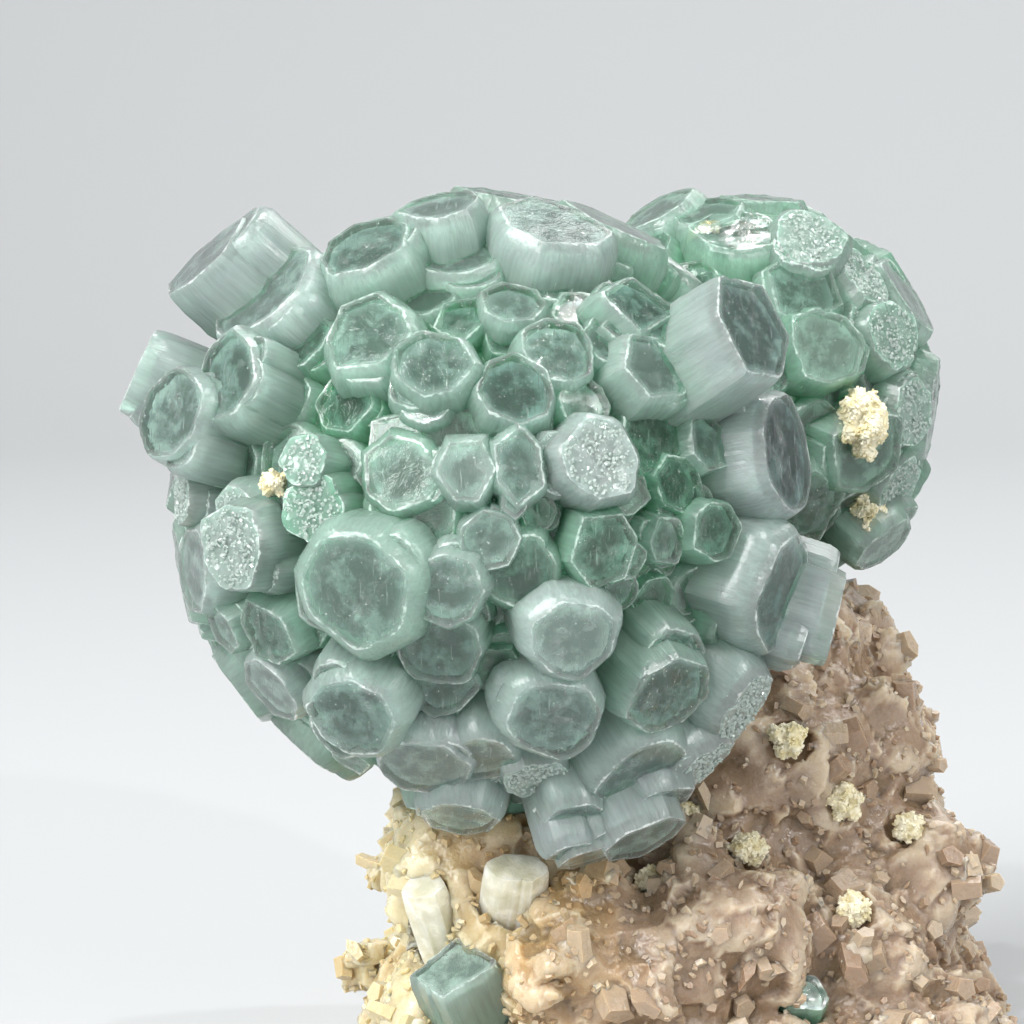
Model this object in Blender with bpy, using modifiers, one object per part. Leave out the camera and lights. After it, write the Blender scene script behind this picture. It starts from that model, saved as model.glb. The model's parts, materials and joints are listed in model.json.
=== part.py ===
"""Apophyllite cluster: two balls of stubby green crystals grown on a lump of peach stilbite.

Metres, +Z up. The origin is the middle of the flat cut under the matrix, +X is to the right and
-Y is the side that shows best. The hand-measured lists give millimetres.
"""

import math
import random
from collections import namedtuple

import bmesh
import bpy
from mathutils import Matrix, Vector, noise
from mathutils.bvhtree import BVHTree

MM = 0.001
GAP = 0.3 * MM

# The lists of crystals are measured from the side that shows best, looking a little down.
VIEW_TILT = math.radians(8)
VIEW_DISTANCE = 200 * MM
RIGHT = Vector((1, 0, 0))
UP = Vector((0, math.sin(VIEW_TILT), math.cos(VIEW_TILT)))
AWAY = Vector((0, math.cos(VIEW_TILT), -math.sin(VIEW_TILT)))

# The near ball: where its middle is, how thick its solid heart is, and how far its crystals reach.
FRONT_CENTRE = Vector((-12.3, -2.0, 39.5)) * MM
FRONT_CORE = 15.6 * MM
FRONT_REACH = 19.0 * MM

# The far ball, smaller, up and to the right behind the near one.
BACK_CENTRE = FRONT_CENTRE + (17.0 * RIGHT + 7.3 * UP + 22.0 * AWAY) * MM
BACK_CORE = 10.8 * MM
BACK_REACH = 13.6 * MM

EYE = FRONT_CENTRE + (1.6 * RIGHT - 0.4 * UP) * MM - VIEW_DISTANCE * AWAY

# Seats in the matrix, wider than the crystals reach. A seat's flat faces lie inside its radius.
SEAT_ROOM = 0.9 * MM
FRONT_SEAT = FRONT_REACH + SEAT_ROOM
BACK_SEAT = BACK_REACH + SEAT_ROOM

CORE_DETAIL = 2
SEAT_DETAIL = 3
LUMP_DETAIL = 2
TUFT_DETAIL = 2
ROOT_SHARE = 0.78
FAR = 80 * MM

# A crystal is this much wider at its root than at its cap, and its corners stand in or out by this share.
ROOT_SPREAD = 1.06
OUTLINE_SPREAD = (0.88, 1.12)

# A crystal's cap as it shows beside the middle of its ball: right, up, width and reach in mm;
# lean turns the crystal towards the viewer, turn rolls it on its own axis, flat squeezes its section.
Crystal = namedtuple("Crystal", "name right up width reach lean turn sides flat", defaults=(0, 0, 8, 1))

FRONT_CRYSTALS = (
    Crystal("upper_left_tip", -16.9, 14.9, 6.2, 22.6, 0, 22, 8),
    Crystal("upper_left_step", -13.6, 12.6, 7.2, 19.6, 0, 10, 8),
    Crystal("left_edge", -20.9, 8.2, 5.2, 22.4, -4, 15, 7),
    Crystal("left_rough", -18.9, 5.7, 5.6, 21.4, 17, 0, 8),
    Crystal("left_drum", -15.6, 7.8, 5.4, 20.2, 4, 30, 7),
    Crystal("left_green", -11.1, 9.7, 4.2, 17.6, 0, 12, 8),
    Crystal("ridge_low", -9.6, 13.4, 3.8, 17.8, 0, 0, 7),
    Crystal("upper_cap", -7.2, 10.6, 5.2, 18.9, 8, 30, 7),
    Crystal("under_cap", -8.6, 6.4, 4.2, 17.2, 0, 45, 6),
    Crystal("ridge_left", -7.5, 15.6, 5.4, 19.2, 0, 10, 8),
    Crystal("top_drum", -2.8, 18.1, 4.6, 19.6, 0, 0, 8),
    Crystal("top_step", -1.6, 15.0, 4.4, 17.4, 0, 20, 8),
    Crystal("top_green", -3.4, 12.8, 4.4, 16.6, -10, 0, 8),
    Crystal("top_big", 4.2, 17.0, 6.6, 19.2, 0, 5, 7),
    Crystal("upper_small", 1.6, 12.1, 3.6, 17.8, 0, 0, 7),
    Crystal("upper_dark", 1.4, 10.2, 2.9, 16.6, 0, 0, 6),
    Crystal("upper_right_cap", 4.4, 9.4, 4.3, 18.3, -8, 18, 8),
    Crystal("tall_cap", -3.3, 8.5, 4.5, 19.3, 8, 0, 7),
    Crystal("middle_cap", 2.0, 7.1, 4.4, 18.6, -12, 0, 8),
    Crystal("bright_cap", 6.8, 2.8, 4.8, 20.0, 0, 10, 7),
    Crystal("small_right", 6.0, 6.2, 3.2, 17.8),
    Crystal("slanted_green", 10.0, 4.2, 5.0, 17.0, 0, 20, 6),
    Crystal("slanted_low", 11.6, 1.2, 3.8, 17.4, 0, 50, 6),
    Crystal("small_diamond", 9.3, 12.0, 4.6, 19.4, 5, 10, 4),
    Crystal("beside_diamond", 7.4, 9.9, 3.6, 18.0, 0, 0, 6),
    Crystal("right_sub", 10.4, 8.3, 4.6, 19.0, 0, 20, 6),
    Crystal("upper_right_big", 16.0, 10.8, 6.6, 22.6, -4, 22, 6),
    Crystal("right_dark_cap", 18.2, 3.3, 7.0, 19.9, 0, 0, 8),
    Crystal("right_low_cap", 17.9, -5.4, 7.0, 20.0, 0, 20, 8),
    Crystal("far_right", 21.0, -6.9, 5.8, 22.2, -6, 0, 8),
    Crystal("right_green_cap", 14.0, -1.5, 3.8, 18.6, 8, 0, 7),
    Crystal("right_sliver", 13.5, 3.9, 3.6, 17.9, 0, 30, 6),
    Crystal("right_small", 11.0, -2.1, 3.0, 17.7, 0, 0, 6),
    Crystal("square_green", 7.2, -2.6, 4.3, 19.1, 0, 8, 6),
    Crystal("low_green", 10.2, -5.7, 3.2, 16.5, 0, 0, 6),
    Crystal("white_cap", 5.4, -8.2, 5.0, 20.3, 6, 15, 8),
    Crystal("low_middle", 4.4, -12.9, 5.4, 20.0, 14, 0, 8),
    Crystal("low_right", 11.2, -11.4, 5.6, 20.2, 6, 30, 7),
    Crystal("centre_dark", 2.0, -3.9, 4.5, 18.6, 0, 12, 7),
    Crystal("centre_pale", 0.2, -2.0, 3.4, 19.2, 0, 0, 7),
    Crystal("disc", -2.3, -5.1, 4.0, 19.9, 0, 0, 8),
    Crystal("largest", -8.0, -4.8, 6.9, 20.6, 4, 12, 7),
    Crystal("inner_upper", -5.1, 2.0, 4.2, 18.4, 0, 0, 7),
    Crystal("inner_lower", -4.4, -0.6, 4.8, 17.8, 0, 25, 8),
    Crystal("twin_left", -1.2, 1.9, 3.6, 19.5, 0, 0, 6),
    Crystal("twin_right", 2.0, 2.2, 4.4, 19.6, 0, 90, 6, 0.64),
    Crystal("pin", 3.2, -0.4, 2.4, 18.0, 0, 0, 6),
    Crystal("under_disc", -2.7, -8.7, 4.9, 18.6, 0, 0, 8),
    Crystal("under_disc_step", -2.7, -10.8, 4.6, 17.8, 0, 0, 7),
    Crystal("low_green_left", -3.3, -12.6, 3.6, 17.5, 0, 0, 6),
    Crystal("low_left_cap", -8.2, -12.6, 5.2, 20.4, 8, 0, 8),
    Crystal("left_low_cap", -13.2, -7.8, 4.2, 18.8, 0, 0, 6),
    Crystal("left_cap", -15.3, -2.4, 5.0, 20.0, 6, 0, 7),
    Crystal("left_limb", -17.6, -3.9, 5.2, 18.7, 0, 15, 8),
    Crystal("left_sparkle", -18.3, 0.4, 3.6, 19.0, 0, 0, 7),
    Crystal("inner_sparkle", -10.9, 2.8, 3.4, 18.8, 0, 0, 6),
    Crystal("inner_sparkle_low", -10.4, -0.2, 4.0, 18.4, 0, 0, 7),
    Crystal("left_low_small", -15.8, -7.5, 3.2, 18.3, 0, 0, 6),
    Crystal("left_low_pale", -12.9, -11.1, 4.8, 18.6, 0, 10, 7),
    Crystal("between_caps", -10.8, -7.4, 3.0, 17.4, 0, 0, 6),
    Crystal("between_low", 0.6, -9.8, 3.2, 17.4, 0, 0, 6),
    Crystal("bottom_big", -3.6, -15.7, 5.8, 19.2, 0, 10, 8),
    Crystal("bottom_big_right", -0.2, -15.4, 4.6, 18.8, 0, 0, 7),
    Crystal("bottom_tip", -1.4, -18.9, 4.8, 20.0, 0, 10, 7),
    Crystal("bottom_sparkle", 3.0, -16.5, 4.2, 19.0, 0, 0, 7),
    Crystal("bottom_right", 9.3, -16.2, 5.6, 20.4, 0, 0, 8),
    Crystal("bottom_right_small", 5.5, -18.8, 3.8, 20.9, 0, 0, 6),
    Crystal("bottom_lilac", 9.6, -20.1, 5.6, 22.9, 0, 10, 7),
    Crystal("bottom_point", 6.3, -21.2, 4.4, 22.6, 0, 0, 6),
    Crystal("right_bottom", 15.6, -12.3, 5.2, 20.6, 0, 20, 8),
    Crystal("right_bottom_step", 12.9, -15.9, 5.0, 20.9, 0, 0, 7),
)

BACK_CRYSTALS = (
    Crystal("far_top_left", -5.7, 12.6, 5.2, 14.0),
    Crystal("far_top", -2.4, 12.4, 4.8, 13.4, 0, 20, 7),
    Crystal("far_ellipse", -0.5, 11.2, 5.6, 13.2, -10, 0, 8),
    Crystal("far_left", -6.9, 9.4, 4.6, 13.0),
    Crystal("far_clear", 4.4, 10.6, 5.2, 13.8, 0, 15, 8),
    Crystal("far_slab", 4.0, 7.2, 5.2, 13.2, 0, 40, 6),
    Crystal("far_upper_right", 8.2, 8.0, 4.6, 13.0, 0, 0, 7),
    Crystal("far_pale", 5.6, 3.4, 5.4, 13.4, 0, 10, 8),
    Crystal("far_right_upper", 10.0, 4.2, 5.0, 13.4, 0, 0, 8),
    Crystal("far_right_sparkle", 11.4, -1.2, 4.6, 13.2, 0, 20, 7),
    Crystal("far_right_low", 10.6, -6.0, 4.6, 13.0, 0, 0, 7),
    Crystal("far_low", 9.4, -10.0, 4.8, 14.2, 0, 0, 8),
)

# The rest of each ball, behind and below, is filled with crystals of these sizes.
FILL_SEED = 7
FILL_WIDTHS = (5.8 * MM, 7.4 * MM)
FILL_DEPTHS = (0.2 * MM, 1.2 * MM)
FILL_TRIES = 300
FILL_CLOSENESS = 0.88

# On the near ball's best side the fill stays deep and small, between the listed crystals.
SUNK_WIDTHS = (3.0 * MM, 4.2 * MM)
SUNK_DEPTHS = (1.8 * MM, 2.8 * MM)
SUNK_FACING = 0.25

# Lumps of the matrix: x, y, z and radius in mm.
LUMPS = (
    (-6, 4, 8, 12), (7, 9, 7, 12.5), (-2, 16, 8, 13), (4, 8, 20, 11), (-6, 12, 20, 10), (5, 19, 24, 10.5),
    (-12.5, -2, 15, 6), (-12.5, -2.5, 7, 6.6), (-13, 3, 19, 5.6), (-13, -3, 1.5, 6.6), (-7, -7.5, 2, 6.4),
    (-6, -6.5, 12, 6), (-2, -8.5, 4, 6.4), (2, -4.5, 13.5, 6.2), (5, -7, 3, 7), (12.5, -1, 4, 7.4),
    (13, 4, 15, 5.8), (11.2, 7, 22.5, 5), (10, -1, 12, 5), (15, 9, 3, 7), (16.5, 2, 2, 4.8),
    (-12, 12, 4, 8.5), (-8, 21, 4, 8.5), (5, 25, 5, 9.5), (13, 18, 5, 8), (10, 16, 22, 7.5),
    (2, 26, 21, 7.5), (8, 10, 28, 4.5), (-4, 20, 26, 6.5), (-12, 8, 14, 7), (12, 18, 14, 7),
    (-3, 25, 14, 7), (1, 0, 4, 9), (3, 7, 2, 10),
)
LUMP_ROUGHNESS = 0.24
LUMP_GRAIN = 3.6 * MM
LUMP_FUSING = 0.9 * MM
LUMP_FACES_KEPT = 0.036

# Blades of stilbite grown on the lumps.
BLADE_SEED = 12
BLADE_COUNT = 40
BLADE_WIDTHS = (2.2 * MM, 4.4 * MM)
BLADE_PROUD = (0.5 * MM, 1.5 * MM)
BLADE_ROOT = 2.4 * MM
BLADE_FLATS = (0.4, 0.75)
BLADE_TILT = 0.45
LOWEST_BLADE = 3.2 * MM

# Larger single crystals on the matrix: right and up from the near ball's middle, width, thickness,
# length, how far they stand proud, and their direction as right, up and towards the viewer.
Single = namedtuple("Single", "name right up width thick length proud direction sides")
SINGLES = (
    Single("white_stilbite_blade", 1.8, -23.6, 4.3, 2.4, 7.0, 2.6, (0.10, 0.75, 0.65), 6),
    Single("pale_stilbite_prism", -3.4, -24.2, 2.9, 2.4, 6.0, 1.8, (-0.22, 0.80, 0.55), 6),
    Single("pale_green_crystal", -1.9, -29.6, 5.6, 4.6, 7.0, 2.6, (-0.25, 0.72, 0.65), 4),
    Single("small_green_crystal", 19.0, -30.0, 3.4, 2.8, 4.4, 1.3, (0.15, 0.60, 0.78), 6),
)

# Powdery tufts: right and up from the near ball's middle, width and height, and what they sit on.
Tuft = namedtuple("Tuft", "right up width height host")
TUFTS = (
    Tuft(22.6, 5.0, 2.9, 4.4, "back"),
    Tuft(22.9, -0.2, 2.6, 2.6, "back"),
    Tuft(18.2, -14.1, 2.4, 2.0, "matrix"),
    Tuft(21.6, -17.8, 2.4, 2.2, "matrix"),
    Tuft(15.8, -20.6, 2.4, 1.8, "matrix"),
    Tuft(22.1, -24.3, 2.2, 2.2, "matrix"),
    Tuft(25.4, -19.4, 2.0, 2.0, "matrix"),
    Tuft(9.8, -22.6, 1.8, 1.8, "matrix"),
    Tuft(12.1, -18.6, 1.8, 1.6, "matrix"),
)


def clear_scene():
    for item in list(bpy.data.objects):
        bpy.data.objects.remove(item)


def make_collection(name):
    collection = bpy.data.collections.new(name)
    bpy.context.scene.collection.children.link(collection)
    return collection


def make_material(name, color, roughness):
    material = bpy.data.materials.new(name)
    material.use_nodes = True
    shader = material.node_tree.nodes["Principled BSDF"]
    shader.inputs["Base Color"].default_value = (*color, 1)
    shader.inputs["Roughness"].default_value = roughness
    shader.inputs["Metallic"].default_value = 0
    return material


def add_object(name, bm, collection, place):
    """The bmesh as an object of the collection, moved by the matrix place."""
    mesh = bpy.data.meshes.new(name)
    bm.to_mesh(mesh)
    bm.free()
    item = bpy.data.objects.new(name, mesh)
    collection.objects.link(item)
    item.matrix_world = place
    return item


def add_helper(name, bm, collection, place):
    helper = add_object(name, bm, collection, place)
    helper.hide_render = True
    helper.display_type = "WIRE"
    return helper


def frame_along(axis, origin, turn):
    """A place at the origin whose +Z runs along the axis, rolled by turn."""
    across = RIGHT if abs(axis.dot(RIGHT)) < 0.9 else UP
    side = (across - across.dot(axis) * axis).normalized()
    other = axis.cross(side)
    spin = Matrix((side, other, axis)).transposed().to_4x4()
    return Matrix.Translation(origin) @ spin @ Matrix.Rotation(turn, 4, "Z")


def seen_at(centre, right, up, reach):
    """The point at this reach from the centre that shows that far right of it and up from it."""
    target = centre + right * RIGHT + up * UP
    sight = (target - EYE).normalized()
    nearest = EYE + (centre - EYE).dot(sight) * sight
    miss = (nearest - centre).length
    return nearest - math.sqrt(max(reach**2 - miss**2, 0)) * sight


def uneven_prism(name, width, length, sides, flat, grown):
    """A prism below the origin with an uneven outline, the same each time for its name."""
    chance = random.Random(name)
    radius = width / 2 + grown
    root = radius * ROOT_SPREAD
    bm = bmesh.new()
    bmesh.ops.create_cone(
        bm, cap_ends=True, cap_tris=False, segments=sides, radius1=root, radius2=radius, depth=length
    )
    reaches = [chance.uniform(*OUTLINE_SPREAD) for _ in range(sides)]
    swings = [chance.uniform(-0.32, 0.32) * math.pi / sides for _ in range(sides)]
    for vert in bm.verts:
        angle = math.atan2(vert.co.y, vert.co.x)
        corner = round(angle / math.tau * sides) % sides
        far = math.hypot(vert.co.x, vert.co.y) * reaches[corner]
        angle += swings[corner]
        height = grown - length if vert.co.z < 0 else grown
        vert.co = Vector((far * math.cos(angle), far * math.sin(angle) * flat, height))
    return bm


def lean_to_viewer(axis, degrees):
    return (axis - math.tan(math.radians(degrees)) * AWAY).normalized()


def grow_crystal(crystal, centre, core, collection, grown=0):
    """One listed crystal as a prism rooted in the ball's core."""
    cap = seen_at(centre, crystal.right * MM, crystal.up * MM, crystal.reach * MM)
    axis = lean_to_viewer((cap - centre).normalized(), crystal.lean)
    length = crystal.reach * MM - ROOT_SHARE * core
    bm = uneven_prism(crystal.name, crystal.width * MM, length, crystal.sides, crystal.flat, grown)
    add_helper(crystal.name, bm, collection, frame_along(axis, cap, math.radians(crystal.turn)))
    return cap


def even_directions(count):
    """Directions spread evenly over a ball along a spiral."""
    for index in range(count):
        height = 1 - (2 * index + 1) / count
        level = math.sqrt(1 - height**2)
        angle = index * math.pi * (3 - math.sqrt(5))
        yield Vector((level * math.cos(angle), level * math.sin(angle), height))


def fill_ball(label, centre, core, reach, listed, sunk, collection):
    """Crystals over the rest of the ball, wherever the listed ones leave room."""
    chance = random.Random(FILL_SEED)
    taken = [((cap - centre).normalized(), row.width * MM) for row, cap in listed]
    for index, direction in enumerate(even_directions(FILL_TRIES)):
        between = sunk and direction.dot(-AWAY) > SUNK_FACING
        width = chance.uniform(*(SUNK_WIDTHS if between else FILL_WIDTHS))
        tip = reach - chance.uniform(*(SUNK_DEPTHS if between else FILL_DEPTHS))
        turn = chance.uniform(0, math.tau)
        sides = chance.choice((5, 6))
        room = [direction.angle(other) * tip - FILL_CLOSENESS * (width + size) / 2 for other, size in taken]
        if min(room) < 0:
            continue
        taken.append((direction, width))
        name = f"{label}_{index}"
        bm = uneven_prism(name, width, tip - ROOT_SHARE * core, sides, 1, 0)
        add_helper(name, bm, collection, frame_along(direction, centre + tip * direction, turn))


def add_boolean(item, operation, collection):
    modifier = item.modifiers.new(operation.title(), "BOOLEAN")
    modifier.operation = operation
    modifier.operand_type = "COLLECTION"
    modifier.collection = collection
    modifier.solver = "EXACT"


def make_core(name, centre, radius, collection, material):
    bm = bmesh.new()
    bmesh.ops.create_icosphere(bm, subdivisions=CORE_DETAIL, radius=radius)
    core = add_object(name, bm, collection, Matrix.Translation(centre))
    core.data.materials.append(material)
    return core


def add_seat(name, centre, radius, collection):
    bm = bmesh.new()
    bmesh.ops.create_icosphere(bm, subdivisions=SEAT_DETAIL, radius=radius)
    add_helper(name, bm, collection, Matrix.Translation(centre))


def add_half_space(name, point, outward, collection):
    """A large box whose face lies at the point, and which fills the side that outward points to."""
    bm = bmesh.new()
    bmesh.ops.create_cube(bm, size=2 * FAR)
    add_helper(name, bm, collection, frame_along(outward, point + FAR * outward, 0))


def suture():
    """The point and direction of the plane where the two balls met and stopped growing."""
    between = BACK_CENTRE - FRONT_CENTRE
    distance = between.length
    along = (distance**2 + FRONT_REACH**2 - BACK_REACH**2) / (2 * distance)
    direction = between.normalized()
    return FRONT_CENTRE + along * direction, direction


def make_ball(name, centre, core, reach, rows, sunk, cut, parts, material):
    """A ball: its core, its listed crystals, its fill, and the plane that parts it from the other."""
    body = make_core(name, centre, core, parts, material)
    grown = make_collection(name + "_crystals")
    listed = [(row, grow_crystal(row, centre, core, grown)) for row in rows]
    fill_ball(name + "_fill", centre, core, reach, listed, sunk, grown)
    add_boolean(body, "UNION", grown)
    cutters = make_collection(name + "_cutters")
    add_half_space(name + "_suture", *cut, cutters)
    add_boolean(body, "DIFFERENCE", cutters)
    settle(body)
    return body


def lump_heap():
    """Every lump as a rough ball in its place, all in one bmesh."""
    bm = bmesh.new()
    for x, y, z, radius in LUMPS:
        centre = Vector((x, y, z)) * MM
        ball = bmesh.ops.create_icosphere(bm, subdivisions=LUMP_DETAIL, radius=radius * MM)
        for vert in ball["verts"]:
            place = centre + vert.co
            vert.co = centre + vert.co * (1 + LUMP_ROUGHNESS * noise.noise(place / LUMP_GRAIN))
    return bm


def fuse(item):
    """Overlapping lumps become one skin, whose faces are then thinned out."""
    remesh = item.modifiers.new("Fuse", "REMESH")
    remesh.mode = "VOXEL"
    remesh.voxel_size = LUMP_FUSING
    thin = item.modifiers.new("Thin", "DECIMATE")
    thin.ratio = LUMP_FACES_KEPT
    settle(item)


def outside_lumps(point, own):
    """Whether the point is clear of every lump but its own, and of the two seats."""
    for index, (x, y, z, radius) in enumerate(LUMPS):
        if index != own and (point - Vector((x, y, z)) * MM).length < radius * MM:
            return False
    return (point - FRONT_CENTRE).length > FRONT_SEAT and (point - BACK_CENTRE).length > BACK_SEAT


def add_blades(collection):
    """Short flattened prisms over the lumps."""
    chance = random.Random(BLADE_SEED)
    skins = [radius**2 for _, _, _, radius in LUMPS]
    made = 0
    while made < BLADE_COUNT:
        own = chance.choices(range(len(LUMPS)), skins)[0]
        x, y, z, radius = LUMPS[own]
        direction = Vector([chance.gauss(0, 1) for _ in range(3)]).normalized()
        point = (Vector((x, y, z)) + radius * direction) * MM
        if point.z < LOWEST_BLADE or not outside_lumps(point, own):
            continue
        width = chance.uniform(*BLADE_WIDTHS)
        proud = chance.uniform(*BLADE_PROUD)
        tilt = Vector([chance.uniform(-BLADE_TILT, BLADE_TILT) for _ in range(3)])
        axis = (direction + tilt).normalized()
        flat = chance.uniform(*BLADE_FLATS)
        bm = uneven_prism(f"blade_{made}", width, proud + BLADE_ROOT, chance.choice((4, 5)), flat, 0)
        turn = chance.uniform(0, math.tau)
        add_helper(f"blade_{made}", bm, collection, frame_along(axis, point + proud * direction, turn))
        made += 1


def make_matrix(parts, material):
    """The lumps and blades as one solid, cut flat below and hollowed where the balls sit."""
    matrix = add_object("stilbite_matrix", lump_heap(), parts, Matrix())
    matrix.data.materials.append(material)
    fuse(matrix)
    grown = make_collection("matrix_blades")
    add_blades(grown)
    add_boolean(matrix, "UNION", grown)
    cutters = make_collection("matrix_cutters")
    add_half_space("flat_cut", Vector((0, 0, 0)), Vector((0, 0, -1)), cutters)
    add_seat("front_seat", FRONT_CENTRE, FRONT_SEAT, cutters)
    add_seat("back_seat", BACK_CENTRE, BACK_SEAT, cutters)
    for row in FRONT_CRYSTALS:
        if row.up < 0 and row.reach * MM > FRONT_REACH:
            grow_crystal(row, FRONT_CENTRE, FRONT_CORE, cutters, GAP)
    add_boolean(matrix, "DIFFERENCE", cutters)
    settle(matrix)
    return matrix


def settle(item):
    """The item's shape with its modifiers done, so that later cuts start from plain faces."""
    bpy.context.view_layer.update()
    shaped = item.evaluated_get(bpy.context.evaluated_depsgraph_get())
    item.data = bpy.data.meshes.new_from_object(shaped)
    item.modifiers.clear()


class Surface:
    """The skin of a body, asked where a line of sight meets it."""

    def __init__(self, host, cutters):
        self.host = host
        self.cutters = cutters
        self.tree = BVHTree.FromPolygons(
            [host.matrix_world @ vert.co for vert in host.data.vertices],
            [tuple(face.vertices) for face in host.data.polygons],
        )

    def under(self, right, up):
        target = FRONT_CENTRE + (right * RIGHT + up * UP) * MM
        return self.tree.ray_cast(EYE, (target - EYE).normalized())[0]


def add_single(single, surface, parts, material):
    """A larger crystal standing from the surface, with a pocket a little wider than it is."""
    right, up, near = single.direction
    axis = (right * RIGHT + up * UP - near * AWAY).normalized()
    tip = surface.under(single.right, single.up) + single.proud * MM * axis
    flat = single.thick / single.width
    place = frame_along(axis, tip, 0)
    width = single.width * MM
    length = single.length * MM
    bm = uneven_prism(single.name, width, length, single.sides, flat, 0)
    crystal = add_object(single.name, bm, parts, place)
    crystal.data.materials.append(material)
    bm = uneven_prism(single.name, width, length + 2 * GAP, single.sides, flat, GAP)
    add_helper(single.name + "_pocket", bm, surface.cutters, place)


def tuft_ball(half):
    bm = bmesh.new()
    bmesh.ops.create_icosphere(bm, subdivisions=TUFT_DETAIL, radius=1)
    bmesh.ops.scale(bm, vec=half, verts=bm.verts)
    return bm


def add_tuft(index, tuft, surface, parts, material):
    """A powdery tuft, half sunk in a pocket of the surface."""
    place = Matrix.Translation(surface.under(tuft.right, tuft.up))
    half = Vector((tuft.width, (tuft.width + tuft.height) / 2, tuft.height)) * MM / 2
    name = f"cream_tuft_{index}"
    item = add_object(name, tuft_ball(half), parts, place)
    item.data.materials.append(material)
    add_helper(name + "_pocket", tuft_ball(half + Vector((GAP, GAP, GAP))), surface.cutters, place)


def main():
    clear_scene()
    parts = make_collection("apophyllite_cluster")
    green = make_material("green_apophyllite", (0.42, 0.58, 0.50), 0.25)
    peach = make_material("peach_stilbite", (0.58, 0.40, 0.28), 0.45)
    white = make_material("white_stilbite", (0.72, 0.68, 0.60), 0.35)
    pale = make_material("pale_apophyllite", (0.66, 0.75, 0.68), 0.25)
    cream = make_material("cream_tuft", (0.72, 0.64, 0.42), 0.9)
    point, direction = suture()
    step = GAP / 2 * direction
    front_cut = (point - step, direction)
    back_cut = (point + step, -direction)
    make_ball(
        "front_apophyllite_ball", FRONT_CENTRE, FRONT_CORE, FRONT_REACH, FRONT_CRYSTALS, True,
        front_cut, parts, green,
    )
    back = make_ball(
        "back_apophyllite_ball", BACK_CENTRE, BACK_CORE, BACK_REACH, BACK_CRYSTALS, False,
        back_cut, parts, green,
    )
    matrix = make_matrix(parts, peach)
    surfaces = {
        "back": Surface(back, make_collection("back_pockets")),
        "matrix": Surface(matrix, make_collection("matrix_pockets")),
    }
    skins = {
        "white_stilbite_blade": white,
        "pale_stilbite_prism": white,
        "pale_green_crystal": pale,
        "small_green_crystal": pale,
    }
    for single in SINGLES:
        add_single(single, surfaces["matrix"], parts, skins[single.name])
    for index, tuft in enumerate(TUFTS, 1):
        add_tuft(index, tuft, surfaces[tuft.host], parts, cream)
    for surface in surfaces.values():
        add_boolean(surface.host, "DIFFERENCE", surface.cutters)


main()
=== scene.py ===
"""The looks of an apophyllite cluster: two balls of green crystals on a crust of peach stilbite.

Metres, +Z up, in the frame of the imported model. The lists of crystals repeat those of the model's
source, in millimetres, so that each detailed crystal stands where its plain solid stands.
"""

from __future__ import annotations

import json
import logging
import math
import random
from collections.abc import Callable, Iterator
from dataclasses import dataclass, field
from enum import Enum
from functools import partial
from typing import NamedTuple

import bmesh
import bpy
import numpy as np
from mathutils import Matrix, Vector, noise

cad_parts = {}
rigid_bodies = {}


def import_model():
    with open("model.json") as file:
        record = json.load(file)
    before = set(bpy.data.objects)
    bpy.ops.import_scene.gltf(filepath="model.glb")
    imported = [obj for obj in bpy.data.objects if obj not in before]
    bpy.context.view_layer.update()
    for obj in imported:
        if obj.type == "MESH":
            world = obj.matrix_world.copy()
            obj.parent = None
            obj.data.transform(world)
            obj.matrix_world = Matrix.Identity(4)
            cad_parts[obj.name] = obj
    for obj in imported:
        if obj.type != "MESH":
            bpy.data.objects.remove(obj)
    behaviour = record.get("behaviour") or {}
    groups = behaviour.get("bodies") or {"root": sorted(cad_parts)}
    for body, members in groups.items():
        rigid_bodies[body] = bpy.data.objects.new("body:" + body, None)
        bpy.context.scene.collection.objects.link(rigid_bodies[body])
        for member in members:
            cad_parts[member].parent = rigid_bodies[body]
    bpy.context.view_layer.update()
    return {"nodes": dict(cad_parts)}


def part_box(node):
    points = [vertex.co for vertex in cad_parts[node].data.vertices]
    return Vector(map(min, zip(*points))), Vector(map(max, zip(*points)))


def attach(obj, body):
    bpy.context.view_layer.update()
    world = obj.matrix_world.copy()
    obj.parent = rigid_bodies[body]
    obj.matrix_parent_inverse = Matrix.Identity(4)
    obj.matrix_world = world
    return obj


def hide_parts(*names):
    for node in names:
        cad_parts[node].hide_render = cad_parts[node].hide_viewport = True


log = logging.getLogger("apophyllite_cluster")

MM = 0.001
BODY = "root"

# The crystals are measured from the side that shows best, looking a little down on the specimen.
VIEW_TILT = math.radians(8)
VIEW_DISTANCE = 200 * MM
RIGHT = Vector((1, 0, 0))
UP = Vector((0, math.sin(VIEW_TILT), math.cos(VIEW_TILT)))
AWAY = Vector((0, math.cos(VIEW_TILT), -math.sin(VIEW_TILT)))
FRONT_CENTRE = Vector((-12.3, -2.0, 39.5)) * MM
BACK_CENTRE = FRONT_CENTRE + (17.0 * RIGHT + 7.3 * UP + 22.0 * AWAY) * MM
EYE = FRONT_CENTRE + (1.6 * RIGHT - 0.4 * UP) * MM - VIEW_DISTANCE * AWAY

FRONT_REACH = 19.0 * MM
BACK_REACH = 13.6 * MM
FRONT_CORE = 15.6 * MM
BACK_CORE = 10.8 * MM
ROOT_SHARE = 0.78
GAP = 0.3 * MM

FILL_SEED = 7
FILL_WIDTHS = (5.8 * MM, 7.4 * MM)
FILL_DEPTHS = (0.2 * MM, 1.2 * MM)
FILL_TRIES = 300
FILL_CLOSENESS = 0.88
SUNK_WIDTHS = (3.0 * MM, 4.2 * MM)
SUNK_DEPTHS = (1.8 * MM, 2.8 * MM)
SUNK_FACING = 0.25

# How uneven a crystal's outline is: the corners' reach, and how far they swing from even angles.
OUTLINE_SPREAD = (0.88, 1.12)
CORNER_SWING = 0.32

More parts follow.
